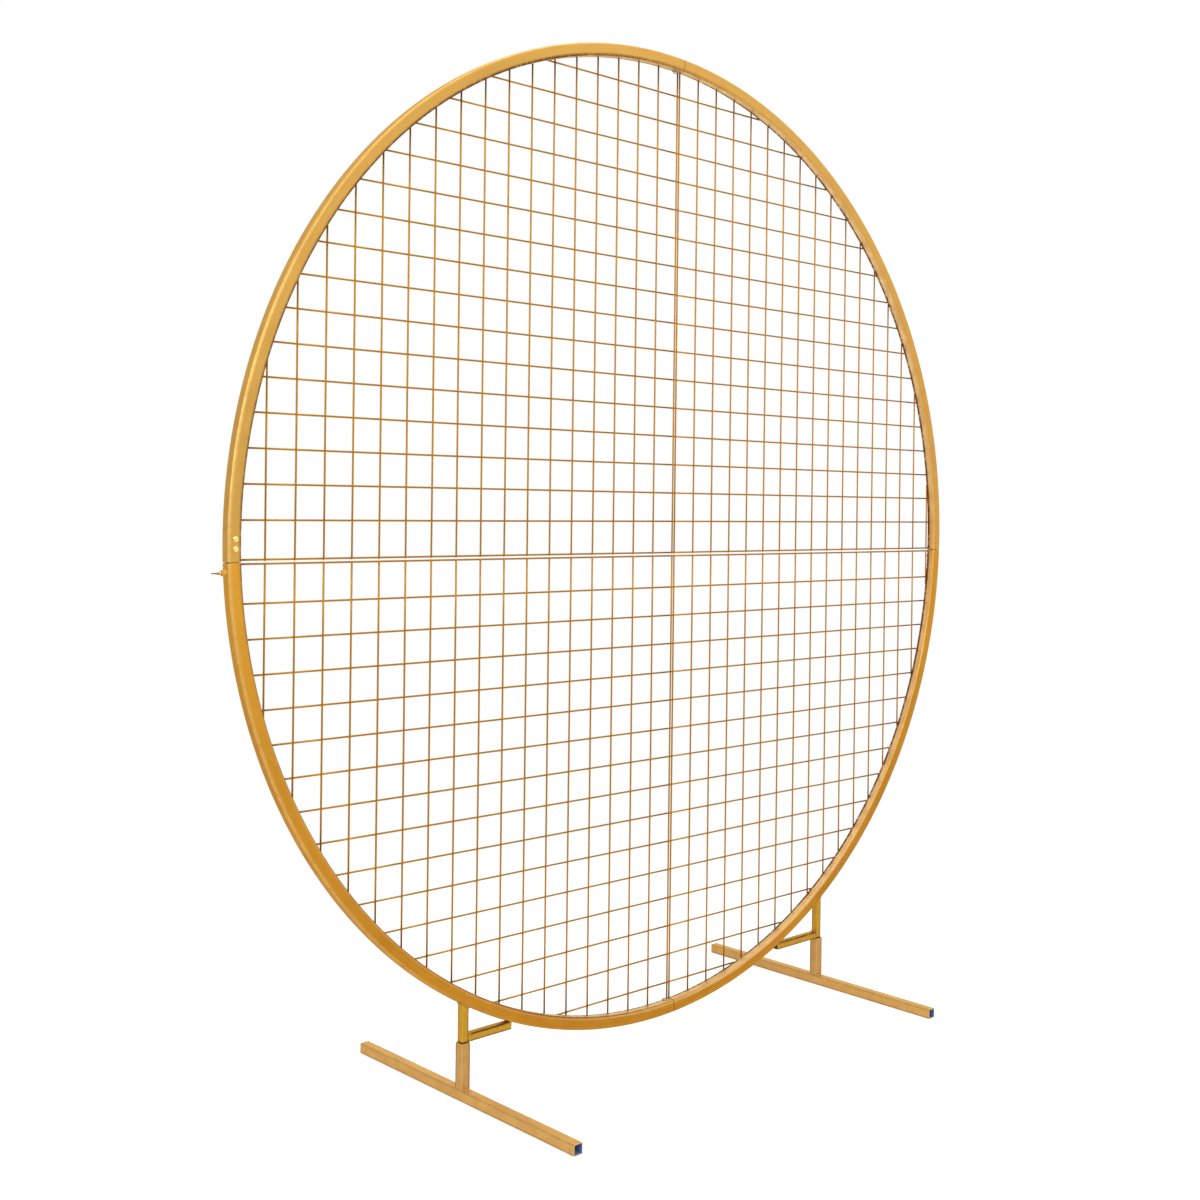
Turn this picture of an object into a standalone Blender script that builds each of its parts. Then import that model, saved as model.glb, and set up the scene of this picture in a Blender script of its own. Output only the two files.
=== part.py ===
"""Round wire-grid backdrop stand in metal tube.

Four rolled rim quarters, each with its own welded wire grid, plug together on
inner sleeves at the left, right, top and bottom joints. Clamp screws hold the
sleeves. A leg and a short arm on each lower quarter drop into the socket of a
foot with a long base bar. The rim stands upright in the XZ plane with its front
towards -Y, and the floor is z = 0.
"""
import math

import bmesh
import bpy
from mathutils import Matrix, Vector

# ---------------------------------------------------------------- clearances
TOUCH = 0.0003            # between pieces that touch, are welded or are screwed
SLEEVE_PLAY = 0.0003      # sleeve to tube, front and back
LEG_PLAY = 0.0005         # leg to socket, each side
LEG_END_ROOM = 0.0030     # under the leg's lower end
SCREW_TIP_ROOM = 0.0005   # clamp screw tip to sleeve
SCREW_HEAD_ROOM = 0.0005  # clamp screw head to its nut

# ---------------------------------------------------------------- rim
RIM_RADIUS = 1.0000       # outside of the rim
RIM_WIDTH = 0.0250        # tube, radially
RIM_DEPTH = 0.0220        # tube, front to back
RIM_WALL = 0.0015
RIM_CORNER = 0.0040
RIM_STEPS = 24            # facets in a quarter
JOINT_GAP = 0.0012        # between the ends of two quarters
GROUND_GAP = 0.0410       # floor to the rim's lowest point
SEAM_X = 0.0510           # top and bottom joints, right of the rim's centre
SEAM_Z = -0.0380          # left and right joints, from the rim's centre

# ---------------------------------------------------------------- wire grids
WIRE = 0.0034             # wire thickness, corner to corner
WELD_BITE = 0.0003        # how far crossing wires are pressed together
COLUMN_PITCH = 0.0570
ROW_PITCH = 0.0596
FIRST_ROW = 0.0656        # edge wire to the first row
SEAM_SPLIT_X = 0.0065     # between the upright edge wires of two grids
SEAM_SPLIT_Z = 0.0071     # between the level edge wires of two grids
GRID_INSET = 0.0015       # back of the tube to the middle of the grid
LAST_WIRE_ROOM = 0.0040   # least room outside the last wire

# ---------------------------------------------------------------- sleeves
SLEEVE_WIDTH = 0.0170     # radially: play for the tube's curve
SLEEVE_WALL = 0.0020
SLEEVE_INSERT = 0.0350    # length that slides
SIDE_SLEEVE_FIXED = 0.0480
CROWN_SLEEVE_FIXED = 0.0300

# ---------------------------------------------------------------- screws
FIX_FIRST_SIDE = 0.0225   # first fixing screw from the joint, left and right
FIX_FIRST_CROWN = 0.0090  # first fixing screw from the joint, top and bottom
FIX_PITCH = 0.0160
FIX_PITCH_CROWN = 0.0130
FIX_SHANK = 0.0050
FIX_HEAD = 0.0110
FIX_HEAD_HEIGHT = 0.0028
FIX_PROUD = 0.0020        # shank beyond the sleeve's wall
CLAMP_SIDE = 0.0160       # clamp screw from the joint, left and right
CLAMP_CROWN = 0.0170      # clamp screw from the joint, top and bottom
CLAMP_SHANK = 0.0060
NUT_BASE = 0.0135
NUT_TOP = 0.0086
NUT_HEIGHT = 0.0080
LOW_NUT_HEIGHT = 0.0022
KNOB_HEAD = 0.0096
KNOB_HEIGHT = 0.0024
WING_REACH = 0.0220       # wing tip beyond the rim
WING_SPAN = 0.0220
WING_THICK = 0.0022
WING_HUB = 0.0070
TURN_STEPS = 12

# ---------------------------------------------------------------- feet
LEFT_LEG_X = 0.5000       # left leg from the rim's centre
RIGHT_LEG_X = 0.5350      # right leg from the rim's centre
FOOT_TUBE = 0.0200        # square tube of the sockets and base bars
LEG_WALL = 0.0012
LEG_CORNER = 0.0015
ARM_OVERRUN = 0.0030      # arm past the point where its top meets the rim
SOCKET_WALL = 0.0020
SOCKET_HEIGHT = 0.0855
SOCKET_CORNER = 0.0020
BAR_WALL = 0.0015
BAR_CORNER = 0.0020
BAR_LENGTH = 0.6400

# ---------------------------------------------------------------- derived
RIM_INNER = RIM_RADIUS - RIM_WIDTH
RIM_MIDDLE = RIM_RADIUS - RIM_WIDTH / 2
CLAMP_TILT = math.asin((SEAM_Z - CLAMP_SIDE) / RIM_MIDDLE)
WING_OUT = (RIM_RADIUS + WING_REACH) * math.cos(CLAMP_TILT) - RIM_RADIUS
RING_X = WING_OUT / 2
RING_Z = GROUND_GAP + RIM_RADIUS
RING = Vector((RING_X, 0.0, RING_Z))
WIRE_HALF = WIRE / 2
GRID_SETBACK = RIM_DEPTH / 2 - GRID_INSET
SLEEVE_DEPTH = RIM_DEPTH - 2 * RIM_WALL - 2 * SLEEVE_PLAY
LEG_SIZE = FOOT_TUBE - 2 * SOCKET_WALL - 2 * LEG_PLAY
SOCKET_BASE = FOOT_TUBE + TOUCH
SOCKET_TOP = SOCKET_BASE + SOCKET_HEIGHT
ARM_BASE = SOCKET_TOP + TOUCH
LEG_BASE = SOCKET_BASE + LEG_END_ROOM

RIGHT_ANGLE_END = math.asin(SEAM_Z / RIM_MIDDLE)
TOP_ANGLE_END = math.acos(SEAM_X / RIM_MIDDLE)
LEFT_ANGLE_END = math.pi - RIGHT_ANGLE_END
BOTTOM_ANGLE_END = 2 * math.pi - TOP_ANGLE_END

for item in list(bpy.data.objects):
    bpy.data.objects.remove(item, do_unlink=True)

PARTS = bpy.data.collections.new("wire_grid_backdrop_stand")
CUTTERS = bpy.data.collections.new("cutters")
bpy.context.scene.collection.children.link(PARTS)
bpy.context.scene.collection.children.link(CUTTERS)


# ---------------------------------------------------------------- helpers
def linear(value):
    """Channel of a display colour, 0 to 255, as a linear value."""
    value = value / 255
    return value / 12.92 if value <= 0.04045 else ((value + 0.055) / 1.055) ** 2.4


def finish(obj, colour, roughness, metallic):
    """Give a piece its own material."""
    mat = bpy.data.materials.new(obj.name + "_finish")
    mat.use_nodes = True
    shader = mat.node_tree.nodes["Principled BSDF"]
    rgb = [linear(c) for c in colour]
    shader.inputs["Base Color"].default_value = (*rgb, 1.0)
    shader.inputs["Roughness"].default_value = roughness
    shader.inputs["Metallic"].default_value = metallic
    mat.diffuse_color = (*rgb, 1.0)
    obj.data.materials.clear()
    obj.data.materials.append(mat)


def new_object(name, bm, collection):
    """Turn a bmesh into an object of a collection."""
    mesh = bpy.data.meshes.new(name)
    bm.to_mesh(mesh)
    bm.free()
    obj = bpy.data.objects.new(name, mesh)
    collection.objects.link(obj)
    return obj


def empty(name, place):
    """An empty on a joint's axis."""
    obj = bpy.data.objects.new(name, None)
    obj.empty_display_size = 0.05
    obj.location = place
    PARTS.objects.link(obj)
    return obj


def attach(obj, parent):
    """Parent an object to an unrotated empty without moving it."""
    place = Vector(parent.location)
    above = parent.parent
    while above is not None:
        place += Vector(above.location)
        above = above.parent
    obj.location = Vector(obj.location) - place
    obj.parent = parent


def facing(place, direction):
    """Matrix that puts local +Z along a direction at a place."""
    turn = Vector(direction).to_track_quat("Z", "Y").to_matrix().to_4x4()
    return Matrix.Translation(Vector(place)) @ turn


def boolean(obj, other, operation):
    """Exact Boolean of a piece with a cutter."""
    mod = obj.modifiers.new(operation.lower() + "_" + other.name, "BOOLEAN")
    mod.operation = operation
    mod.solver = "EXACT"
    mod.object = other


def as_cutter(obj):
    """Mark an object as a cutter."""
    obj.hide_render = True
    obj.display_type = "WIRE"
    return obj


def round_cutter(name, radius, length, matrix, sides):
    """Cylinder along local Z, centred on its origin, as a cutter."""
    bm = bmesh.new()
    bmesh.ops.create_cone(bm, cap_ends=True, segments=sides, radius1=radius,
                          radius2=radius, depth=length)
    obj = new_object(name, bm, CUTTERS)
    obj.matrix_world = matrix
    return as_cutter(obj)


def box_tube(name, width, depth, length, wall, corner):
    """Square tube along local +Z from its origin, open at both ends."""
    bm = bmesh.new()
    bmesh.ops.create_cube(bm, size=1.0)
    bmesh.ops.scale(bm, vec=(width, depth, length), verts=bm.verts)
    bmesh.ops.translate(bm, vec=(0, 0, length / 2), verts=bm.verts)
    ends = [f for f in bm.faces if abs(f.normal.z) > 0.5]
    bmesh.ops.delete(bm, geom=ends, context="FACES_ONLY")
    posts = [e for e in bm.edges if abs(e.verts[0].co.z - e.verts[1].co.z) > length / 2]
    bmesh.ops.bevel(bm, geom=posts, offset=corner, offset_type="OFFSET", segments=1,
                    profile=0.5, affect="EDGES")
    obj = new_object(name, bm, PARTS)
    shell = obj.modifiers.new("wall", "SOLIDIFY")
    shell.thickness = wall
    shell.offset = -1.0
    shell.use_even_offset = True
    return obj


def turned(name, profile, closed):
    """Turned piece about local Z from a profile that runs down its outer side."""
    bm = bmesh.new()
    points = [bm.verts.new((radius, 0.0, height)) for radius, height in profile]
    for first, second in zip(points, points[1:]):
        bm.edges.new((first, second))
    if closed:
        bm.edges.new((points[-1], points[0]))
    obj = new_object(name, bm, PARTS)
    spin = obj.modifiers.new("turn", "SCREW")
    spin.axis = "Z"
    spin.angle = 2 * math.pi
    spin.steps = TURN_STEPS
    spin.render_steps = TURN_STEPS
    spin.use_merge_vertices = True
    spin.merge_threshold = 0.00001
    spin.use_smooth_shade = False
    return obj


# ---------------------------------------------------------------- rim quarters
def rim_quarter(name, start, end):
    """Rolled hollow tube between two joint angles, open at both ends."""
    shorten = JOINT_GAP / 2 / RIM_MIDDLE
    start += shorten
    end -= shorten
    bm = bmesh.new()
    bmesh.ops.create_grid(bm, x_segments=1, y_segments=1, size=0.5)
    bmesh.ops.scale(bm, vec=(RIM_WIDTH, RIM_DEPTH, 1), verts=bm.verts)
    bmesh.ops.bevel(bm, geom=list(bm.verts), offset=RIM_CORNER, offset_type="OFFSET",
                    segments=1, profile=0.5, affect="VERTICES")
    bmesh.ops.delete(bm, geom=list(bm.faces), context="FACES_ONLY")
    upright = Matrix.Rotation(math.pi / 2, 4, "X")
    outward = Matrix.Translation((RIM_MIDDLE, 0, 0)) @ upright
    bmesh.ops.transform(bm, matrix=Matrix.Rotation(start, 4, "Z") @ outward,
                        verts=bm.verts)
    obj = new_object(name, bm, PARTS)
    obj.rotation_euler = (math.pi / 2, 0, 0)
    obj.location = RING
    sweep = obj.modifiers.new("roll", "SCREW")
    sweep.axis = "Z"
    sweep.angle = end - start
    sweep.steps = RIM_STEPS
    sweep.render_steps = RIM_STEPS
    sweep.use_merge_vertices = False
    sweep.use_normal_calculate = True
    shell = obj.modifiers.new("wall", "SOLIDIFY")
    shell.thickness = RIM_WALL
    shell.offset = -1.0
    shell.use_even_offset = True
    return obj


QUARTERS = {
    "upper_left": (TOP_ANGLE_END, LEFT_ANGLE_END, -1, 1),
    "upper_right": (RIGHT_ANGLE_END, TOP_ANGLE_END, 1, 1),
    "lower_left": (LEFT_ANGLE_END, BOTTOM_ANGLE_END, -1, -1),
    "lower_right": (BOTTOM_ANGLE_END, RIGHT_ANGLE_END + 2 * math.pi, 1, -1),
}
RIMS = {}
for side, (first_angle, last_angle, _, _) in QUARTERS.items():
    RIMS[side] = rim_quarter("rim_" + side, first_angle, last_angle)

WIDEST_STEP = max(b - a for a, b, _, _ in QUARTERS.values()) / RIM_STEPS
RIM_SAG = RIM_INNER * (1 - math.cos(WIDEST_STEP / 2))
GRID_RADIUS = RIM_INNER - RIM_SAG - TOUCH


# ---------------------------------------------------------------- wire grids
def add_wire(bm, along, across, depth, first, last_sign):
    """Four-sided wire from its seam end to the circle of the grid."""
    turn = Matrix.Identity(4) if along == "Z" else Matrix.Rotation(math.pi / 2, 4, "Y")
    made = bmesh.ops.create_cone(bm, cap_ends=True, segments=4, radius1=WIRE_HALF,
                                 radius2=WIRE_HALF, depth=2.0, matrix=turn)
    main, side = (2, 0) if along == "Z" else (0, 2)
    for vert in made["verts"]:
        outer = (vert.co[main] > 0) == (last_sign > 0)
        vert.co[side] += across
        vert.co.y += depth
        reach = math.sqrt(GRID_RADIUS ** 2 - vert.co[side] ** 2)
        vert.co[main] = last_sign * reach if outer else first


def positions(seam, split, first_step, pitch, sign):
    """Wire places from a seam outwards, as long as they fit in the rim."""
    places = [seam + sign * split / 2]
    place = places[0] + sign * first_step
    while abs(place) + WIRE_HALF + LAST_WIRE_ROOM < GRID_RADIUS:
        places.append(place)
        place += sign * pitch
    return places


def wire_grid(name, side_x, side_z):
    """Welded grid of one quarter: upright wires in front of level wires."""
    columns = positions(SEAM_X, SEAM_SPLIT_X, COLUMN_PITCH, COLUMN_PITCH, side_x)
    rows = positions(SEAM_Z, SEAM_SPLIT_Z, FIRST_ROW, ROW_PITCH, side_z)
    layer = (WIRE - WELD_BITE) / 2
    uprights = bmesh.new()
    for x in columns:
        add_wire(uprights, "Z", x, GRID_SETBACK - layer, rows[0] - side_z * WIRE_HALF,
                 side_z)
    levels = bmesh.new()
    for z in rows:
        add_wire(levels, "X", z, GRID_SETBACK + layer, columns[0] - side_x * WIRE_HALF,
                 side_x)
    grid = new_object(name, uprights, PARTS)
    grid.location = RING
    other = new_object(name + "_level_wires", levels, CUTTERS)
    other.location = RING
    as_cutter(other)
    boolean(grid, other, "UNION")
    return grid


GRIDS = {}
for side, (_, _, side_x, side_z) in QUARTERS.items():
    GRIDS[side] = wire_grid("grid_" + side, side_x, side_z)


# ---------------------------------------------------------------- sleeves
def sleeve_middle(seam, fixed):
    """Distance of a sleeve's axis from the rim's centre, midway in its play."""
    ends = [seam - SLEEVE_INSERT, seam, seam + fixed]
    if ends[0] < 0 < ends[2]:
        ends.append(0.0)
    reach = [math.sqrt(RIM_MIDDLE ** 2 - e ** 2) for e in ends]
    return (min(reach) + max(reach)) / 2


SIDE_MIDDLE = sleeve_middle(SEAM_Z, SIDE_SLEEVE_FIXED)
CROWN_MIDDLE = sleeve_middle(SEAM_X, CROWN_SLEEVE_FIXED)

# joint: (outward sign, along X or Z, quarter that holds the sleeve, quarter with the
# clamp screw, face of the fixing screws, place of the clamp screw)
JOINTS = {
    "left": (-1, "Z", "upper_left", "lower_left", "front", "outer"),
    "right": (1, "Z", "upper_right", "lower_right", "back", "back"),
    "top": (1, "X", "upper_right", "upper_left", "back", "inner"),
    "bottom": (-1, "X", "lower_right", "lower_left", "back", "inner"),
}


def at(joint, along, radial, depth):
    """Point near a joint: along its slide, out from the centre, and in depth."""
    sign, axis = JOINTS[joint][:2]
    if axis == "Z":
        return RING + Vector((sign * radial, depth, SEAM_Z + along))
    return RING + Vector((SEAM_X + along, depth, sign * radial))


def sleeve(joint):
    """Inner sleeve of a joint, lying along its slide."""
    side_joint = JOINTS[joint][1] == "Z"
    fixed = SIDE_SLEEVE_FIXED if side_joint else CROWN_SLEEVE_FIXED
    middle = SIDE_MIDDLE if side_joint else CROWN_MIDDLE
    obj = box_tube("sleeve_" + joint, SLEEVE_WIDTH, SLEEVE_DEPTH,
                   SLEEVE_INSERT + fixed, SLEEVE_WALL, RIM_CORNER)
    if not side_joint:
        obj.rotation_euler = (0, math.pi / 2, 0)
    obj.location = at(joint, -SLEEVE_INSERT, middle, 0.0)
    return obj


SLEEVES = {joint: sleeve(joint) for joint in JOINTS}


# ---------------------------------------------------------------- fixing screws
def fixing_screws(joint):
    """Two domed screws that hold a sleeve in its quarter, with their holes."""
    _, axis, holder, _, face, _ = JOINTS[joint]
    middle = SIDE_MIDDLE if axis == "Z" else CROWN_MIDDLE
    start = FIX_FIRST_SIDE if axis == "Z" else FIX_FIRST_CROWN
    pitch = FIX_PITCH if axis == "Z" else FIX_PITCH_CROWN
    front = -1 if face == "front" else 1
    depth_in = RIM_WALL + SLEEVE_PLAY + SLEEVE_WALL + FIX_PROUD
    made = []
    for number in (1, 2):
        place = at(joint, start + (number - 1) * pitch, middle, front * RIM_DEPTH / 2)
        matrix = facing(place, (0, front, 0))
        profile = [(0.0, TOUCH + FIX_HEAD_HEIGHT)]
        for lean in (math.radians(52), math.radians(20)):
            profile.append((FIX_HEAD / 2 * math.cos(lean),
                            TOUCH + FIX_HEAD_HEIGHT * math.sin(lean)))
        profile += [(FIX_HEAD / 2, TOUCH), (FIX_SHANK / 2, TOUCH),
                    (FIX_SHANK / 2, -depth_in), (0.0, -depth_in)]
        screw = turned("fixing_screw_%s_%d" % (joint, number), profile, False)
        screw.matrix_world = matrix
        hole = round_cutter("hole_%s_%d" % (joint, number), FIX_SHANK / 2 + TOUCH,
                            2 * (depth_in + TOUCH), matrix, TURN_STEPS)
        boolean(RIMS[holder], hole, "DIFFERENCE")
        boolean(SLEEVES[joint], hole, "DIFFERENCE")
        made.append(screw)
    return made


FIXINGS = {joint: fixing_screws(joint) for joint in JOINTS}


# ---------------------------------------------------------------- clamp screws
def clamp(joint):
    """Welded nut and clamp screw of a joint, with the hole in the tube's wall."""
    sign, axis, _, carrier, _, place_of = JOINTS[joint]
    side_joint = axis == "Z"
    back_by = CLAMP_SIDE if side_joint else CLAMP_CROWN
    middle = SIDE_MIDDLE if side_joint else CROWN_MIDDLE
    seam = SEAM_Z if side_joint else SEAM_X
    angle = math.asin((seam - back_by) / RIM_MIDDLE)
    if side_joint:
        radial = Vector((sign * math.cos(angle), 0, math.sin(angle)))
    else:
        radial = Vector((math.sin(angle), 0, sign * math.cos(angle)))
    tilt_room = CLAMP_SHANK / 2 * abs(math.sin(angle))
    sleeve_half = SLEEVE_WIDTH / 2
    if place_of == "back":
        place = RING + radial * middle + Vector((0, RIM_DEPTH / 2, 0))
        direction = Vector((0, 1, 0))
        reach_in = RIM_DEPTH / 2 - SLEEVE_DEPTH / 2 - SCREW_TIP_ROOM
    elif place_of == "outer":
        place = RING + radial * RIM_RADIUS
        direction = radial
        face = (middle + sleeve_half) / math.cos(angle)
        reach_in = RIM_RADIUS - face - tilt_room - SCREW_TIP_ROOM
    else:
        place = RING + radial * (RIM_INNER - RIM_SAG)
        direction = -radial
        face = (middle - sleeve_half) / math.cos(angle)
        reach_in = face - tilt_room - SCREW_TIP_ROOM - (RIM_INNER - RIM_SAG)
    matrix = facing(place, direction)
    height = NUT_HEIGHT if place_of == "outer" else LOW_NUT_HEIGHT
    top_radius = NUT_TOP / 2 if place_of == "outer" else NUT_BASE / 2
    bore = CLAMP_SHANK / 2 + TOUCH
    nut = turned("clamp_nut_" + joint,
                 [(top_radius, TOUCH + height), (NUT_BASE / 2, TOUCH + height * 0.15),
                  (NUT_BASE / 2, TOUCH), (bore, TOUCH), (bore, TOUCH + height)], True)
    nut.matrix_world = matrix
    seat = TOUCH + height + SCREW_HEAD_ROOM
    hub = WING_HUB if place_of == "outer" else KNOB_HEAD
    top = WING_REACH * 0.6 if place_of == "outer" else seat + KNOB_HEIGHT
    crown = min(KNOB_HEIGHT, top - seat) * 0.3
    screw = turned("clamp_screw_" + joint,
                   [(0.0, top), (hub / 2 - crown, top), (hub / 2, top - crown),
                    (hub / 2, seat), (CLAMP_SHANK / 2, seat),
                    (CLAMP_SHANK / 2, -reach_in), (0.0, -reach_in)], False)
    screw.matrix_world = matrix
    if place_of == "outer":
        wing = wing_plate(joint, seat, matrix)
        boolean(screw, wing, "UNION")
    hole = round_cutter("clamp_hole_" + joint, bore, 2 * (RIM_WALL + RIM_SAG + TOUCH),
                        matrix, TURN_STEPS)
    boolean(RIMS[carrier], hole, "DIFFERENCE")
    return nut, screw


def wing_plate(joint, seat, matrix):
    """Flat butterfly outline across the hub of the wing screw."""
    curve = bpy.data.curves.new("wing_" + joint, "CURVE")
    curve.dimensions = "2D"
    curve.fill_mode = "BOTH"
    curve.extrude = WING_THICK / 2
    line = curve.splines.new("POLY")
    tall = WING_REACH - seat
    outline = []
    for step in range(7):
        lean = math.radians(-40 + 130 * step / 6)
        outline.append((WING_SPAN / 2 - tall * 0.28 * (1 - math.cos(lean)),
                        seat + tall * (0.62 + 0.38 * math.sin(lean))))
    outline.append((WING_HUB * 0.30, seat + tall * 0.50))
    points = [(WING_HUB * 0.40, seat + tall * 0.05)] + outline
    points += [(-x, y) for x, y in reversed(points)]
    line.points.add(len(points) - 1)
    for target, (x, y) in zip(line.points, points):
        target.co = (x, y, 0.0, 1.0)
    line.use_cyclic_u = True
    rough = bpy.data.objects.new("wing_outline_" + joint, curve)
    CUTTERS.objects.link(rough)
    bpy.context.view_layer.update()
    graph = bpy.context.evaluated_depsgraph_get()
    mesh = bpy.data.meshes.new_from_object(rough.evaluated_get(graph))
    bm = bmesh.new()
    bm.from_mesh(mesh)
    bmesh.ops.remove_doubles(bm, verts=bm.verts, dist=0.00001)
    upright = Matrix.Rotation(math.pi / 2, 4, "X")
    bmesh.ops.transform(bm, matrix=upright, verts=bm.verts)
    bmesh.ops.transform(bm, matrix=Matrix.Rotation(math.pi / 2, 4, "Z"), verts=bm.verts)
    bmesh.ops.recalc_face_normals(bm, faces=bm.faces)
    bm.to_mesh(mesh)
    bm.free()
    bpy.data.objects.remove(rough, do_unlink=True)
    wing = bpy.data.objects.new("wing_" + joint, mesh)
    CUTTERS.objects.link(wing)
    wing.matrix_world = matrix
    return as_cutter(wing)


CLAMPS = {joint: clamp(joint) for joint in JOINTS}


# ---------------------------------------------------------------- legs and feet
COPE = (RIM_RADIUS + TOUCH) / math.cos(math.pi / 192)
RIM_COPE = round_cutter("rim_cope", COPE, 0.2, facing(RING, (0, -1, 0)), 192)
ARM_TOP_DROP = RING_Z - (ARM_BASE + LEG_SIZE)
ARM_END = math.sqrt(RIM_RADIUS ** 2 - ARM_TOP_DROP ** 2) - ARM_OVERRUN


def leg_and_arm(side, sign, distance):
    """Leg down into the socket, and the arm from the leg in to the rim."""
    drop = math.sqrt(RIM_RADIUS ** 2 - (distance + LEG_SIZE / 2) ** 2)
    leg = box_tube("leg_" + side, LEG_SIZE, LEG_SIZE, RING_Z - drop + LEG_SIZE - LEG_BASE,
                   LEG_WALL, LEG_CORNER)
    leg.location = (RING_X + sign * distance, 0, LEG_BASE)
    boolean(leg, RIM_COPE, "DIFFERENCE")
    start = distance - LEG_SIZE / 2 - TOUCH
    arm = box_tube("arm_" + side, LEG_SIZE, LEG_SIZE, start - ARM_END, LEG_WALL,
                   LEG_CORNER)
    arm.rotation_euler = (0, -sign * math.pi / 2, 0)
    arm.location = (RING_X + sign * start, 0, ARM_BASE + LEG_SIZE / 2)
    boolean(arm, RIM_COPE, "DIFFERENCE")
    return leg, arm


def foot(side, sign, distance):
    """Socket on the middle of a base bar."""
    socket = box_tube("socket_" + side, FOOT_TUBE, FOOT_TUBE, SOCKET_HEIGHT,
                      SOCKET_WALL, SOCKET_CORNER)
    socket.location = (RING_X + sign * distance, 0, SOCKET_BASE)
    bar = box_tube("base_bar_" + side, FOOT_TUBE, FOOT_TUBE, BAR_LENGTH, BAR_WALL,
                   BAR_CORNER)
    bar.rotation_euler = (-math.pi / 2, 0, 0)
    bar.location = (RING_X + sign * distance, -BAR_LENGTH / 2, FOOT_TUBE / 2)
    return socket, bar


LEGS = {"left": leg_and_arm("left", -1, LEFT_LEG_X),
        "right": leg_and_arm("right", 1, RIGHT_LEG_X)}
FEET = {"left": foot("left", -1, LEFT_LEG_X), "right": foot("right", 1, RIGHT_LEG_X)}

# ---------------------------------------------------------------- joints
lower_right_slide = empty("lower_right_slide", at("bottom", 0, CROWN_MIDDLE, 0))
upper_left_slide = empty("upper_left_slide", at("left", 0, SIDE_MIDDLE, 0))
upper_right_slide = empty("upper_right_slide", at("right", 0, SIDE_MIDDLE, 0))
foot_slides = {
    "left": empty("foot_left_slide", (RING_X - LEFT_LEG_X, 0, SOCKET_TOP)),
    "right": empty("foot_right_slide", (RING_X + RIGHT_LEG_X, 0, SOCKET_TOP)),
}
attach(upper_right_slide, lower_right_slide)
attach(foot_slides["right"], lower_right_slide)

carriers = {"upper_left": upper_left_slide, "upper_right": upper_right_slide,
            "lower_right": lower_right_slide, "lower_left": None}
for side, carrier in carriers.items():
    if carrier is not None:
        attach(RIMS[side], carrier)
        attach(GRIDS[side], carrier)
for joint, (_, _, holder, clamped, _, _) in JOINTS.items():
    for piece in [SLEEVES[joint]] + FIXINGS[joint]:
        if carriers[holder] is not None:
            attach(piece, carriers[holder])
    for piece in CLAMPS[joint]:
        if carriers[clamped] is not None:
            attach(piece, carriers[clamped])
for piece in LEGS["right"]:
    attach(piece, lower_right_slide)
for side in ("left", "right"):
    for piece in FEET[side]:
        attach(piece, foot_slides[side])

# ---------------------------------------------------------------- finishes
for side in QUARTERS:
    finish(RIMS[side], (216, 160, 72), 0.42, 0.35)
    finish(GRIDS[side], (196, 132, 76), 0.45, 0.35)
for joint in JOINTS:
    finish(SLEEVES[joint], (150, 152, 158), 0.40, 0.90)
    for piece in FIXINGS[joint]:
        finish(piece, (228, 190, 112), 0.32, 0.60)
    finish(CLAMPS[joint][0], (208, 140, 58), 0.45, 0.35)
    finish(CLAMPS[joint][1], (96, 66, 48), 0.42, 0.80)
for side in ("left", "right"):
    finish(LEGS[side][0], (202, 160, 60), 0.42, 0.35)
    finish(LEGS[side][1], (202, 160, 60), 0.42, 0.35)
    finish(FEET[side][0], (208, 160, 90), 0.42, 0.35)
    finish(FEET[side][1], (212, 162, 92), 0.42, 0.35)

for obj in PARTS.objects:
    if obj.type == "MESH":
        obj.data.shade_smooth()
        obj.data.set_sharp_from_angle(angle=math.radians(35))
bpy.context.view_layer.update()
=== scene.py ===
"""Looks of the round wire-grid backdrop stand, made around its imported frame.

The rim quarters, wire grids, sleeves, screws, legs and feet are built again with
round wires, rounded tube corners, weld beads and threads. Every size is in metres
in the frame's own axes: the rim stands upright in the XZ plane, its front towards
-Y, and the floor is z = 0.
"""
import math
import random

import bmesh
import bpy
from mathutils import Matrix, Vector, noise


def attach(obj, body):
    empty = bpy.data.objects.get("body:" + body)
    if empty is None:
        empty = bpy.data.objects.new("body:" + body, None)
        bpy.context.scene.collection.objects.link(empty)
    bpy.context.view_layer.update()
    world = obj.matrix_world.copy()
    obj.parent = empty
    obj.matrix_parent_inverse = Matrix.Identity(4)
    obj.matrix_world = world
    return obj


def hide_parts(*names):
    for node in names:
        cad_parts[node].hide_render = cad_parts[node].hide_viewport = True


bl_info = {
    "name": "Round Backdrop Stand",
    "version": (1, 0, 0),
    "blender": (4, 5, 0),
    "location": "View3D > Sidebar > Backdrop Stand",
    "description": "Builds the tubes, grids, screws, welds and stage of a round stand",
    "category": "Add Mesh",
}

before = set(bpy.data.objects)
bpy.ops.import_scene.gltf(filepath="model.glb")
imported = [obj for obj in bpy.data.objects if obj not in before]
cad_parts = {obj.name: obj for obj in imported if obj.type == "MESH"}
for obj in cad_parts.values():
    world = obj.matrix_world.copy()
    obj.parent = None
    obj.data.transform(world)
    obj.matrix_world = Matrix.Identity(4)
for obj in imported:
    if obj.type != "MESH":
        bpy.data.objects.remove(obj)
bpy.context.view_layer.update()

# ---- sizes of the frame
TOUCH = 0.0003
RIM_RADIUS = 1.0
RIM_WIDTH = 0.025
RIM_DEPTH = 0.022
RIM_WALL = 0.0015
JOINT_GAP = 0.0012
SEAM_X = 0.051
SEAM_Z = -0.038
WIRE_HALF = 0.0017
WELD_BITE = 0.0003
WIRE_BOW = 0.0004
WIRE_STEP = 0.12
COLUMN_PITCH = 0.0570
ROW_PITCH = 0.0596
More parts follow.
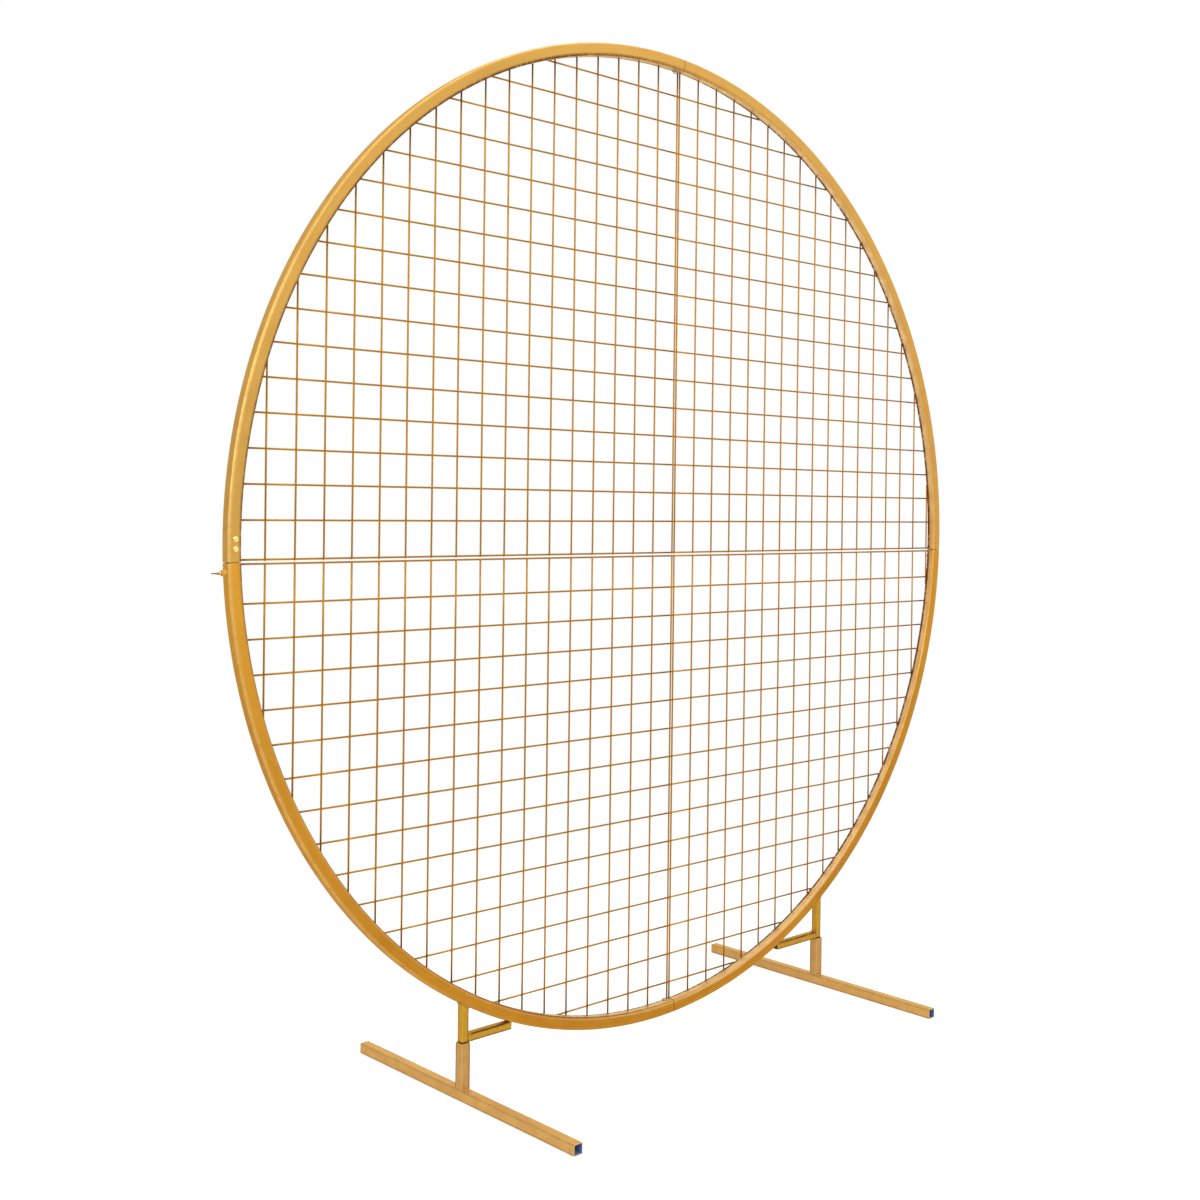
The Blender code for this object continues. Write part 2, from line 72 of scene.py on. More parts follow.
FIRST_ROW = 0.0656
SEAM_SPLIT_X = 0.0065
SEAM_SPLIT_Z = 0.0071
GRID_INSET = 0.0015
GRID_SETBACK = RIM_DEPTH / 2 - GRID_INSET
GRID_PLAY = 0.0008
LEVEL_WIRE_EXTRA = 0.0030
LAST_WIRE_ROOM = 0.0040
SPOT_HEIGHT = 0.0020
SPOT_SINK = 0.0006
SPOT_FORWARD = 0.0012
SLEEVE_WIDTH = 0.0170
SLEEVE_WALL = 0.0020
SLEEVE_END_ROUND = 0.0007
SLEEVE_INSERT = 0.0350
SIDE_SLEEVE_FIXED = 0.0480
CROWN_SLEEVE_FIXED = 0.0300
FIX_FIRST = {"Z": 0.0225, "X": 0.0090}
FIX_PITCH = {"Z": 0.0160, "X": 0.0130}
FIX_HEAD = 0.0110
FIX_HEAD_HEIGHT = 0.0028
FIX_SHANK = 0.0050
FIX_THREAD = 0.0008
FIX_TOOTH = 0.0003
FIX_TIP = 0.0020
CROSS_ARM = 0.00045
CROSS_REACH = 0.0022
CROSS_DEPTH = 0.0012
CROSS_SIDE_SLOPE = 0.0004
CROSS_END_SLOPE = 0.0006
CROSS_RUN_OUT = 0.0036
CLAMP_BACK = {"Z": 0.0160, "X": 0.0170}
CLAMP_SHANK = 0.0060
CLAMP_TOOTH = 0.0004
CLAMP_TIP_ROOM = 0.0005
INNER_NUT_RISE = 0.0004
THREAD_NOSE = 0.0006
NUT_BASE = 0.0135
NUT_TOP = 0.0086
NUT_HEIGHT = 0.0080
NUT_BEAD = 0.0009
LOW_NUT_HEIGHT = 0.0022
KNOB_HEAD = 0.0096
KNOB_HEIGHT = 0.0024
KNURL = 0.00018
SCREW_HEAD_ROOM = 0.0005
WING_REACH = 0.0220
WING_HUB = 0.0070
LEG_X = {"left": -0.500, "right": 0.535}
LEG_SIZE = 0.0150
LEG_WALL = 0.0012
LEG_BASE = 0.0233
ARM_BASE = 0.1061
ARM_OVERRUN = 0.0030
FOOT_TUBE = 0.0200
SOCKET_WALL = 0.0020
SOCKET_BASE = 0.0203
SOCKET_TOP = 0.1058
BAR_WALL = 0.0015
BAR_LENGTH = 0.6400
RIM_FLOOR_GAP = 0.0410

# heights about a socket's top: a leg has painted shade between the middle two
LIP_LINE = (-0.0020, -0.0004, 0.0020, 0.0036)
CORNER_BAND = 0.0024
LEAST_CORNER = 0.0004
END_BAND = 0.0015
RIM_STATIONS = 72
# shares of a weld bead's radius
BEAD_STEP = 0.34
RIPPLE_GAP = 1.5
RIPPLE_HEIGHT = 0.13
DEEP = Vector((0, 1, 0))
UP = Vector((0, 0, 1))

RIM_INNER = RIM_RADIUS - RIM_WIDTH
RIM_MIDDLE = RIM_RADIUS - RIM_WIDTH / 2
CLAMP_TILT = math.asin((SEAM_Z - CLAMP_BACK["Z"]) / RIM_MIDDLE)
RING_X = ((RIM_RADIUS + WING_REACH) * math.cos(CLAMP_TILT) - RIM_RADIUS) / 2
RING = Vector((RING_X, 0.0, RIM_FLOOR_GAP + RIM_RADIUS))
SLEEVE_DEPTH = RIM_DEPTH - 2 * RIM_WALL - 2 * TOUCH
GRID_REACH = RIM_INNER - GRID_PLAY
LAYER = (2 * WIRE_HALF - WELD_BITE) / 2

RIGHT_END = math.asin(SEAM_Z / RIM_MIDDLE)
TOP_END = math.acos(SEAM_X / RIM_MIDDLE)
LEFT_END = math.pi - RIGHT_END
BOTTOM_END = 2 * math.pi - TOP_END

# quarter: (first angle, last angle, side along X, side along Z), seen from the front
QUARTERS = {
    "upper_left": (TOP_END, LEFT_END, -1, 1),
    "upper_right": (RIGHT_END, TOP_END, 1, 1),
    "lower_left": (LEFT_END, BOTTOM_END, -1, -1),
    "lower_right": (BOTTOM_END, RIGHT_END + 2 * math.pi, 1, -1),
}
# joint: (outward sign, slide axis, quarter with the sleeve, quarter with the clamp
# screw, face of the fixing screws, place of the clamp screw)
JOINTS = {
    "left": (-1, "Z", "upper_left", "lower_left", "front", "outer"),
    "right": (1, "Z", "upper_right", "lower_right", "back", "back"),
    "top": (1, "X", "upper_right", "upper_left", "back", "inner"),
    "bottom": (-1, "X", "lower_right", "lower_left", "back", "inner"),
}


# ---- settings
def shade(red, green, blue):
    """Display colour, 0 to 255, as linear values."""
    rgb = [channel / 255 for channel in (red, green, blue)]
    return [c / 12.92 if c <= 0.04045 else ((c + 0.055) / 1.055) ** 2.4 for c in rgb]


def colour(name, text, value):
    """Colour property with a name, a description and a default."""
    return bpy.props.FloatVectorProperty(name=name, description=text, default=value,
                                         subtype="COLOR", size=3, min=0.0, max=1.0)


def length(name, text, value):
    """Length property in metres."""
    return bpy.props.FloatProperty(name=name, description=text, default=value,
                                   min=0.0, unit="LENGTH", precision=5)


def power(name, text, value):
    """Power property in watts."""
    return bpy.props.FloatProperty(name=name, description=text, default=value,
                                   min=0.0, unit="POWER")


class StandSizes(bpy.types.PropertyGroup):
    """Sizes that the frame leaves open."""

    rim_corner: length("Rim corner", "Outside corner radius of the rim tube", 0.0040)
    leg_corner: length("Leg corner", "Outside corner radius of legs and arms", 0.0015)
    foot_corner: length("Foot corner", "Outside corner radius of sockets and bars",
                        0.0020)
    end_round: length("End rounding", "Deburred edge at every tube end", 0.0004)
    nugget: length("Crossing weld", "Half width of the weld where two wires cross",
                   0.0024)
    rim_spot: length("Rim weld", "Half width of the weld of a wire end on the rim",
                     0.0028)
    bead: length("Weld bead", "Radius of the weld beads", 0.0016)
    thread: length("Thread pitch", "Pitch of the clamp screws' thread", 0.0010)


class StandFinishes(bpy.types.PropertyGroup):
    """Colours of the stand's finishes."""

    upper_gold: colour("Upper rim", "Satin gold coat of the upper quarters",
                       shade(222, 172, 84))
    lower_gold: colour("Lower rim", "Deeper gold coat of the lower quarters",
                       shade(213, 154, 50))
    # darker gold low on the rim: painted shade
    low_shade_gold: colour("Foot of the rim", "Deepest gold coat, low on the rim",
                     shade(172, 112, 16))
    # paler gold of the rim's inner face: painted light
    inside_light_gold: colour("Inside of the rim", "Thin pale coat on the rim's inner face",
                       shade(242, 204, 146))
    # paler gold of the rim's outer corners: painted highlight and a little wear
    corner_highlight_gold: colour("Rim corners", "Pale coat on the rim's outer corners",
                        shade(226, 188, 116))
    wire_gold: colour("Wires", "Copper gold coat of the wires", shade(172, 120, 4))
    leg_gold: colour("Legs", "Yellow gold coat of legs and arms", shade(192, 145, 42))
    foot_gold: colour("Base bars", "Pale tan gold coat of the bars",
                      shade(209, 163, 90))
    socket_gold: colour("Sockets", "Darker tan gold coat of the sockets",
                        shade(196, 151, 84))
    weld_gold: colour("Welds", "Orange gold coat over the welds", shade(222, 138, 44))
    brass: colour("Domed screws", "Gold lacquer of the domed screws",
                  shade(240, 210, 132))
    bronze: colour("Clamp screws", "Dark bronze plating of the clamp screws",
                   shade(128, 92, 70))
    nickel: colour("Low clamp screws", "Nickel plating of the low clamp screws",
                   shade(186, 180, 168))
    zinc: colour("Sleeves", "Zinc plating of the sleeves, stained by gold coat",
                 shade(172, 134, 84))
    bare_steel: colour("Bare steel", "Blued bare steel inside the tubes",
                       shade(124, 156, 214))


class StandStage(bpy.types.PropertyGroup):
    """Camera, lamps and floor."""

    lens: bpy.props.FloatProperty(name="Lens", description="Focal length",
                                  default=44.78, min=1.0, unit="CAMERA")
    key: power("Key lamp", "Power of the key lamp", 80.0)
    top: power("Top lamp", "Power of the top lamp", 46.0)
    side: power("Side lamp", "Power of the side lamp", 72.0)
    sky: bpy.props.FloatProperty(name="Room light", default=0.55, min=0.0,
                                 description="Even light of the room")
    floor: colour("Floor", "Colour of the floor", (0.80, 0.80, 0.79))


def sizes():
    """Sizes as they are set now."""
    return bpy.context.scene.backdrop_sizes


def finishes():
    """Finishes as they are set now."""
    return bpy.context.scene.backdrop_finishes


# ---- finishes
class Nodes:
    """Node tree that is put together a node at a time."""

    def __init__(self, owner):
        owner.use_nodes = True
        self.owner = owner
        self.tree = owner.node_tree

    def feed(self, value, socket):
        """Link a socket, or set a value."""
        if isinstance(value, bpy.types.NodeSocket):
            self.tree.links.new(value, socket)
        else:
            socket.default_value = value

    def node(self, kind, sockets=None, **settings):
        """Outputs of a new node with its own settings and its sockets fed."""
        made = self.tree.nodes.new(kind)
        for key, value in settings.items():
            setattr(made, key, value)
        for key, value in (sockets or {}).items():
            self.feed(value, made.inputs[key])
        return made.outputs

    def times(self, first, second, operation="MULTIPLY"):
        """Two values multiplied, or joined by another operation."""
        sockets = {0: first, 1: second}
        return self.node("ShaderNodeMath", sockets, operation=operation)["Value"]

    def spread(self, value, low, high, to_low=0.0, to_high=1.0, **settings):
        """Map a value from one range to another."""
        sockets = {"Value": value, "From Min": low, "From Max": high,
                   "To Min": to_low, "To Max": to_high}
        return self.node("ShaderNodeMapRange", sockets, **settings)["Result"]

    def blended(self, share, first, second):
        """Two shaders mixed by a share."""
        sockets = {"Fac": share, 1: first, 2: second}
        return self.node("ShaderNodeMixShader", sockets)["Shader"]


class Finish(Nodes):
    """Material of the stand."""

    def __init__(self, name, metallic, roughness, tint=(1.0, 1.0, 1.0)):
        super().__init__(bpy.data.materials.new(name))
        self.shader = self.tree.nodes["Principled BSDF"]
        self.use("Metallic", metallic)
        self.use("Specular Tint", (*tint, 1.0))
        self.use("Roughness", roughness)
        self.place = self.node("ShaderNodeTexCoord")["Object"]

    def use(self, key, value):
        """Feed one of the shader's inputs."""
        self.feed(value, self.shader.inputs[key])

    def parts(self, vector):
        """X, Y and Z of a vector."""
        split = self.node("ShaderNodeSeparateXYZ", {"Vector": vector})
        return split["X"], split["Y"], split["Z"]

    def along_ring(self):
        """Place as distance from the rim's centre, depth and way round, shortened."""
        x, deep, z = self.parts(self.place)
        x = self.times(x, RING.x, "SUBTRACT")
        z = self.times(z, RING.z, "SUBTRACT")
        square = self.times(self.times(x, x), self.times(z, z), "ADD")
        sockets = {"X": self.times(square, 0.5, "POWER"), "Y": deep,
                   "Z": self.times(self.times(z, x, "ARCTAN2"), 0.03)}
        return self.node("ShaderNodeCombineXYZ", sockets)["Vector"]

    def grain(self, size, detail, stretch=None, place=None):
        """Noise with features of about the given size, in metres."""
        place = place or self.place
        if stretch:
            sockets = {"Vector": place, "Scale": stretch}
            place = self.node("ShaderNodeMapping", sockets)["Vector"]
        sockets = {"Vector": place, "Scale": 1.0 / size, "Detail": detail}
        return self.node("ShaderNodeTexNoise", sockets)["Fac"]

    def spots(self, size, detail, low, high, stretch=None, place=None):
        """Noise that runs from 0 at its low level to 1 at its high one."""
        return self.spread(self.grain(size, detail, stretch, place), low, high)

    def mesh_mark(self, name="wear"):
        """Value that the mesh carries at its corners and ends."""
        return self.node("ShaderNodeAttribute", attribute_name=name)["Fac"]

    def mixed(self, share, first, second):
        """Two colours mixed by a share."""
        made = self.tree.nodes.new("ShaderNodeMix")
        made.data_type = "RGBA"
        self.feed(share, made.inputs["Factor"])
        sockets = [socket for socket in made.inputs if socket.type == "RGBA"]
        for value, socket in zip((first, second), sockets):
            if not isinstance(value, bpy.types.NodeSocket):
                value = (*value[:3], 1.0)
            self.feed(value, socket)
        return [socket for socket in made.outputs if socket.type == "RGBA"][0]

    def relief(self, height, strength, depth):
        """Bump from a height."""
        sockets = {"Strength": strength, "Distance": depth, "Height": height}
        self.use("Normal", self.node("ShaderNodeBump", sockets)["Normal"])


def tone(rgb, factor, warm=0.0):
    """Lighter or darker colour, and warmer where warm is above zero."""
    return [min(1.0, rgb[0] * factor * (1 + warm)), min(1.0, rgb[1] * factor),
            min(1.0, rgb[2] * factor * (1 - warm))]


def gold_coat(name, rgb, roughness=0.42, metallic=0.75, fleck=0.0011, patch=0.030,
              pale=None, wear=0.80, inner=None, low=None, scorch=(92, 44, 30),
              stretch=None, low_from=(0.95, 0.35), painted_top_light=None):
    """Satin gold powder coat: patchy, streaked along the tube, paler on marked corners
    as wear and painted highlight, and darker where painted shade is marked.

    inner is the paler colour of the rim's inside, painted light; low the darker tone
    below the heights of low_from, painted shade; crown the lighter tone of faces that
    look up, painted light; and stretch the streaks' direction; without it they follow
    the rim.
    """
    coat = Finish(name, metallic, roughness, (1.0, 0.82, 0.50))
    patches = coat.spots(patch, 4.0, 0.36, 0.64)
    drift = coat.spots(patch * 7, 2.0, 0.35, 0.65)
    flecks = coat.spots(fleck, 2.0, 0.40, 0.62)
    place = None if stretch else coat.along_ring()
    streaks = coat.spots(0.0030, 3.0, 0.38, 0.62, stretch, place)

    def patchy(colour_of, dark, bright):
        """Colour that is darker and lighter in patches."""
        return coat.mixed(patches, tone(colour_of, dark, 0.03),
                          tone(colour_of, bright, -0.02))

    base = patchy(rgb, 0.93, 1.05)
    # low darkens the coat below the given heights: painted shade
    if low:
        height = coat.parts(coat.place)[2]
        base = coat.mixed(coat.spread(height, *low_from), base, patchy(low, 0.94, 1.05))
    # crown lightens the faces that look up: painted light on top faces
    if painted_top_light:
        upwards = coat.parts(coat.node("ShaderNodeNewGeometry")["Normal"])[2]
        base = coat.mixed(coat.spread(upwards, 0.30, 0.80), base,
                          patchy(painted_top_light, 0.95, 1.04))
    for mark, share, factor, warm in ((drift, 0.30, 1.0, 0.07),
                                      (streaks, 0.38, 0.82, 0.02),
                                      (flecks, 0.22, 0.80, 0.03)):
        base = coat.mixed(coat.times(mark, share), base, tone(rgb, factor, warm))
    # corners and ends marked for wear turn pale: wear, and painted highlight where the
    # marks follow the light; pale is their colour
    rubbed_and_lit = coat.times(coat.mesh_mark(), coat.spots(0.012, 4.0, 0.20, 0.52))
    rubbed_and_lit = coat.times(rubbed_and_lit, wear)
    base = coat.mixed(rubbed_and_lit, base, pale or tone(rgb, 1.28, -0.12))
    # the rim's inside turns paler: painted light
    if inner:
        painted_inside = coat.mixed(patches, tone(inner, 0.88, 0.03), tone(inner, 1.06))
        painted_inside = coat.mixed(coat.times(flecks, 0.35), painted_inside, tone(rgb, 0.80, 0.03))
        base = coat.mixed(coat.mesh_mark("inner_face"), base, painted_inside)
    # dark marks along corners, edges and joints: painted shade
    dark = coat.times(coat.mesh_mark("scorched"), coat.spots(0.009, 3.0, 0.20, 0.50))
    coat.use("Base Color", coat.mixed(dark, base, shade(*scorch)))
    gloss = coat.spread(patches, 0.0, 1.0, roughness + 0.05, roughness - 0.05)
    coat.use("Roughness", coat.times(gloss, coat.times(rubbed_and_lit, 0.12), "SUBTRACT"))
    peel = coat.times(coat.grain(fleck * 2.2, 2.0), coat.times(streaks, 0.35), "ADD")
    coat.relief(peel, 0.22, 0.00025)
    return coat.owner


def weld_coat(name, rgb):
    """Powder coat over a weld: darker in the hollows, rough, with pinholes."""
    coat = Finish(name, 0.35, 0.5)
    lumps = coat.spots(0.0016, 3.0, 0.35, 0.65)
    pits = coat.spots(0.0007, 2.0, 0.58, 0.70)
    base = coat.mixed(lumps, tone(rgb, 0.84, 0.04), tone(rgb, 1.08, -0.02))
    base = coat.mixed(coat.times(pits, 0.5), base, tone(rgb, 0.5, 0.08))
    coat.use("Base Color", base)
    coat.use("Roughness", coat.spread(lumps, 0.0, 1.0, 0.56, 0.40))
    coat.relief(lumps, 0.35, 0.0003)
    return coat.owner


def plated(name, rgb, roughness, scratch_along, metallic=1.0):
    """Plated steel with turning marks or drawn scratches and dull spots."""
    plate = Finish(name, metallic, roughness)
    stretch = [1.0 if axis == scratch_along else 26.0 for axis in "XYZ"]
    scratches = plate.spots(0.012, 5.0, 0.38, 0.62, stretch)
    dull = plate.spots(0.005, 3.0, 0.42, 0.66)
    base = plate.mixed(scratches, tone(rgb, 0.88), tone(rgb, 1.08))
    base = plate.mixed(plate.times(dull, 0.45), base, tone(rgb, 0.70, 0.03))
    # corners and ends marked for wear turn paler: wear, and painted highlight on the
    # corners picked for it
    base = plate.mixed(plate.times(plate.mesh_mark(), 0.5), base, tone(rgb, 1.35))
    plate.use("Base Color", base)
    plate.use("Roughness", plate.spread(scratches, 0.0, 1.0, roughness + 0.10,
                                        roughness - 0.06))
    plate.relief(scratches, 0.12, 0.0001)
    return plate.owner


def recipes():
    """Maker, colour and settings of each finish."""
    look = finishes()
    upright, lengthwise = (1.0, 1.0, 0.03), (1.0, 0.03, 1.0)
    # the rim's corners take a painted highlight and its inside painted light
    rim = {"pale": look.corner_highlight_gold, "inner": look.inside_light_gold}
    # the feet's dark colour is the painted shade along their edges
    foot = {"roughness": 0.48, "metallic": 0.60, "fleck": 0.0013, "wear": 0.55,
            "scorch": (96, 56, 66)}
    coats = {
        # each low tone is painted shade, darker towards the bottom
        "upper_gold": (look.upper_gold, {
            "low": tone(look.upper_gold, 0.84, 0.12), "low_from": (1.75, 1.30), **rim}),
        # the upper left quarter is darker below its top: painted shade
        "deep_gold": (look.upper_gold, {
            "low": tone(look.upper_gold, 0.70), "low_from": (2.02, 1.90), **rim}),
        "lower_gold": (look.lower_gold, {"low": look.low_shade_gold, **rim}),
        "wire_gold": (look.wire_gold, {
            "roughness": 0.38, "metallic": 0.92, "fleck": 0.0008, "patch": 0.020}),
        "leg_gold": (look.leg_gold, {
            "roughness": 0.40, "fleck": 0.0016, "patch": 0.010, "wear": 0.45,
            "stretch": upright}),
        # the bars' top faces are lighter: painted light
        "foot_gold": (look.foot_gold, {
            "patch": 0.024, "stretch": lengthwise,
            "painted_top_light": tone(look.foot_gold, 1.30, -0.02), **foot}),
        "socket_gold": (look.socket_gold, {
            "patch": 0.016, "stretch": upright, **foot}),
    }
    # pale_weld takes the paler colour of the rim's inside, painted light
    welds = {"weld_gold": look.weld_gold, "foot_weld": look.socket_gold,
             "leg_weld": look.leg_gold, "rim_weld": look.lower_gold,
             "pale_weld": look.inside_light_gold,
             "wire_weld": tone(look.wire_gold, 0.95, -0.05),
             "nut_weld": tone(look.nickel, 0.86, 0.05)}
    plates = {"brass": (0.20, "X", 1.0), "bronze": (0.36, "Z", 0.85),
              "nickel": (0.30, "Y", 0.9), "zinc": (0.42, "Z", 0.7),
              "bare_steel": (0.50, "Y", 0.25)}
    return {
        **{name: (gold_coat, (rgb,), given) for name, (rgb, given) in coats.items()},
        **{name: (weld_coat, (rgb,), {}) for name, rgb in welds.items()},
        **{name: (plated, (getattr(look, name), *given), {})
           for name, given in plates.items()},
    }


FINISHES = {}


def finish(name):
    """Material of a finish, made once."""
    if name not in FINISHES:
        make, values, settings = recipes()[name]
        FINISHES[name] = make(name, *values, **settings)
    return FINISHES[name]


# ---- making pieces
def new_object(name, data):
    """Object that is put in the scene."""
    obj = bpy.data.objects.new(name, data)
    bpy.context.scene.collection.objects.link(obj)
    return obj


def add_piece(name, bm, looks, body, replaces=(), soft_edges=True):
    """Turn a bmesh into a piece that rides on a body and may stand for CAD nodes."""
    bmesh.ops.recalc_face_normals(bm, faces=bm.faces)
    mesh = bpy.data.meshes.new(name)
    bm.to_mesh(mesh)
    bm.free()
    for look in looks:
        mesh.materials.append(finish(look))
    obj = new_object(name, mesh)
    mesh.shade_smooth()
    if soft_edges:
        mesh.set_sharp_from_angle(angle=math.radians(50))
        flats = obj.modifiers.new("flat_faces", "WEIGHTED_NORMAL")
        flats.keep_sharp = True
        flats.weight = 80
    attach(obj, body)
    if replaces:
        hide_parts(*replaces)


def add_weld(name, bm, look, body):
    """Piece of welds, which stands for no CAD node."""
    add_piece(name, bm, [look], body, (), False)


# marks: wear and painted highlight, painted shade, painted light on the rim's inside
MARKS = ("wear", "scorched", "inner_face")


def mark_layers(bm):
    """Layers that hold each point's wear and painted highlight, painted shade, and
    painted light inside the rim.
    """
    layers = bm.verts.layers.float
    for name in MARKS:
        if layers.get(name) is None:
            layers.new(name)
    return [layers.get(name) for name in MARKS]


def loft(bm, loops, closed=False, marks=None, look=None):
    """Skin loops of points, each as long as the last, in order.

    marks gives each loop its (wear and painted highlight, painted shade, painted light
    inside the rim) for every point, and look each gap its finish.
    """
    layers = mark_layers(bm)
    rows = []
    for place, loop in enumerate(loops):
        row = [bm.verts.new(point) for point in loop]
        if marks:
            for vert, values in zip(row, marks[place]):
                for layer, value in zip(layers, values):
                    vert[layer] = value
        rows.append(row)
    count = len(rows)
    for place in range(count if closed else count - 1):
        first, second = rows[place], rows[(place + 1) % count]
        for step in range(len(first)):
            after = (step + 1) % len(first)
            face = bm.faces.new((first[step], first[after], second[after],
                                 second[step]))
            if look:
                face.material_index = look[place]
    return rows


def closed_loft(bm, loops):
    """Skin loops of points and close both ends."""
    rows = loft(bm, loops)
    bm.faces.new(rows[0])
    bm.faces.new(rows[-1])


def angles(steps):
    """Angles of a full turn in even steps."""
    return [2 * math.pi * step / steps for step in range(steps)]


def circle(matrix, size, height, steps):
    """Loop about local Z; its radius may be a function of the step and the angle."""
    loop = []
    for step, angle in enumerate(angles(steps)):
        reach = size(step, angle) if callable(size) else size
        loop.append(matrix @ Vector((reach * math.cos(angle), reach * math.sin(angle),
                                     height)))
    return loop


def hexagon(size, angle):
    """Distance of a hexagon's flat sides from its middle."""
    near = (angle + math.pi / 6) % (math.pi / 3) - math.pi / 6
    return size * 0.9 / math.cos(near)


def frame_at(place, *axes):
    """Frame at a place with the given X, Y and Z axes."""
    return Matrix.Translation(place) @ Matrix(axes).transposed().to_4x4()


def tube_outline(width, depth, corner, steps):
    """Rounded outline of a tube as (across, deep, corner share) from its first corner
    on.

    Two points on either side of each corner end its marked band.
    """
    points = []
    for sign_x, sign_y, start in ((1, 1, 0), (-1, 1, 90), (-1, -1, 180), (1, -1, 270)):
        middle_x = sign_x * (width / 2 - corner)
        middle_y = sign_y * (depth / 2 - corner)
        for step in range(-2, steps + 3):
            angle = math.radians(start + 90 * max(0, min(steps, step)) / steps)
            beside = CORNER_BAND * max(0, -step, step - steps)
            turn = -1 if step < 0 else 1
            x = middle_x + corner * math.cos(angle) - turn * beside * math.sin(angle)
            y = middle_y + corner * math.sin(angle) + turn * beside * math.cos(angle)
            corner_share = 0.0 if beside else 0.55 + 0.45 * math.sin(math.pi * step / steps)
            corner_share = 0.02 if beside == CORNER_BAND else corner_share
            points.append((x, y, corner_share))
    return points


def held(value):
    """Value held between 0 and 1."""
    return max(0.0, min(1.0, value))


def upright_marks(matrix, x, y, corner_share):
    """Marks of an upright tube: wear and painted highlight on two opposite corners,
    painted shade on the other two.

    A line of painted shade runs round a leg where the lip of its socket sits.
    """
    rise = matrix.translation.z - SOCKET_TOP
    if LIP_LINE[1] - 0.0001 < rise < LIP_LINE[2] + 0.0001:
        return 0.0, 1.0, 0.0
    return (corner_share, 0.0, 0.0) if x * y > 0 else (0.0, held(corner_share * 1.5), 0.0)


def arm_marks(matrix, x, y, corner_share):
    """Marks of an arm: painted shade along all its corners, stronger along the front
    ones.
    """
    return 0.0, held(corner_share * (1.5 if y < 0 else 1.0)), 0.0


def bar_marks(matrix, x, y, corner_share):
    """Marks of a base bar: faint painted shade along the upper corners, stronger
    painted shade along the lower ones.
    """
    return 0.0, corner_share * (0.30 if y > 0 else 0.75), 0.0


def tube(bm, stations, width, depth, wall, corner, end_round, steps=5, fit=None,
         inside_look=0, mark=upright_marks, end_mark=(1.0, 0.0, 0.0)):
    """Open rounded tube through stations, which are frames with Z along the tube.

    fit may move a point after it is placed, for a coped end. mark gives the marks of a
    point of the outside.
    """
    outer, inner, lip = (
        tube_outline(width - 2 * less, depth - 2 * less,
                     max(corner - less, LEAST_CORNER) if less else corner, steps)
        for less in (0.0, wall, end_round))

    def ring(outline, matrix, push=0.0):
        """Outline placed in a station's frame and fitted."""
        points = [matrix @ Vector((x, y, push)) for x, y, _ in outline]
        return [fit(point) for point in points] if fit else points

    first, last = stations[0], stations[-1]
    loops = [ring(lip, first), ring(outer, first, end_round)]
    loops += [ring(outer, matrix) for matrix in stations[1:-1]]
    loops += [ring(outer, last, -end_round), ring(lip, last)]
    ends = [[end_mark] * len(outer)] * 2
    marks = ends + [[mark(matrix, *point) for point in outer]
                    for matrix in stations[1:-1]] + ends
    look = [0] * len(loops)
    loops += [ring(inner, matrix) for matrix in reversed(stations)]
    marks += [[(0.0, 0.0, 0.0)] * len(outer)] * len(stations)
    look += [inside_look] * (len(stations) - 1) + [0]
    loft(bm, loops, True, marks, look)


def spread_stations(start, end, deep=DEEP, close=END_BAND, count=6):
    """Stations with one close to each end, so that the marked band at each end stays
    short.
    """
    start, end = Vector(start), Vector(end)
    reach = (end - start).length
    shares = [0.0, close / reach]
    shares += [step / count for step in range(1, count)]
    shares += [1 - close / reach, 1.0]
    along = (end - start).normalized()
    across = deep.cross(along).normalized()
    return [frame_at(start.lerp(end, share), across, deep, along) for share in shares]


def facing(place, direction):
    """Frame at a place with Z along a direction."""
    direction = Vector(direction).normalized()
    up = UP if abs(direction.dot(DEEP)) > 0.9 else DEEP
    across = up.cross(direction).normalized()
    return frame_at(place, across, direction.cross(across), direction)


def threaded(bm, matrix, low, high, radius, depth, pitch, steps=20):
    """Screw thread about local Z, tapered at its lower end."""
    per_turn = 6
    count = max(4, int((high - low) / pitch * per_turn))
    loops = []
    for level in range(count + 1):
        height = low + (high - low) * level / count
        nose = THREAD_NOSE * max(0.0, 1 - level / per_turn)

        def size(step, _):
            """Radius of the thread at a step round it."""
            phase = (height / pitch + step / steps) % 1.0
            return radius - depth * abs(2 * phase - 1) - nose

        loops.append(circle(matrix, size, height, steps))
    closed_loft(bm, loops)


def bead(bm, path, radius, closed, seed, lift=UP):
    """Weld bead along a path: a round rope with overlapping ripples.

    lift is the bead's upward direction, or a function that gives it at a point.
    """
    draw = random.Random(seed)
    gap = radius * BEAD_STEP
    points = resample([Vector(p) for p in path], gap, closed)
    count = len(points)
    loops = []
    travel = 0.0
    for place, point in enumerate(points):
        before = points[place - 1] if (place or closed) else point
        after = points[(place + 1) % count] if (place < count - 1 or closed) else point
        along = (after - before).normalized()
        across = along.cross(lift(point) if callable(lift) else lift).normalized()
        up = across.cross(along).normalized()
        wave = abs(math.sin(math.pi * travel / (radius * RIPPLE_GAP)))
        ripple = 1 + RIPPLE_HEIGHT * wave
        size = radius * ripple * draw.uniform(0.95, 1.05)
        if not closed:
            ends = min(place, count - 1 - place) / 3
            size *= math.sqrt(min(1.0, 0.10 + ends))
        loops.append([point + (across * math.cos(a) + up * math.sin(a)) * size
                      for a in angles(10)])
        travel += gap
    if closed:
        loft(bm, loops, True)
    else:
        closed_loft(bm, loops)


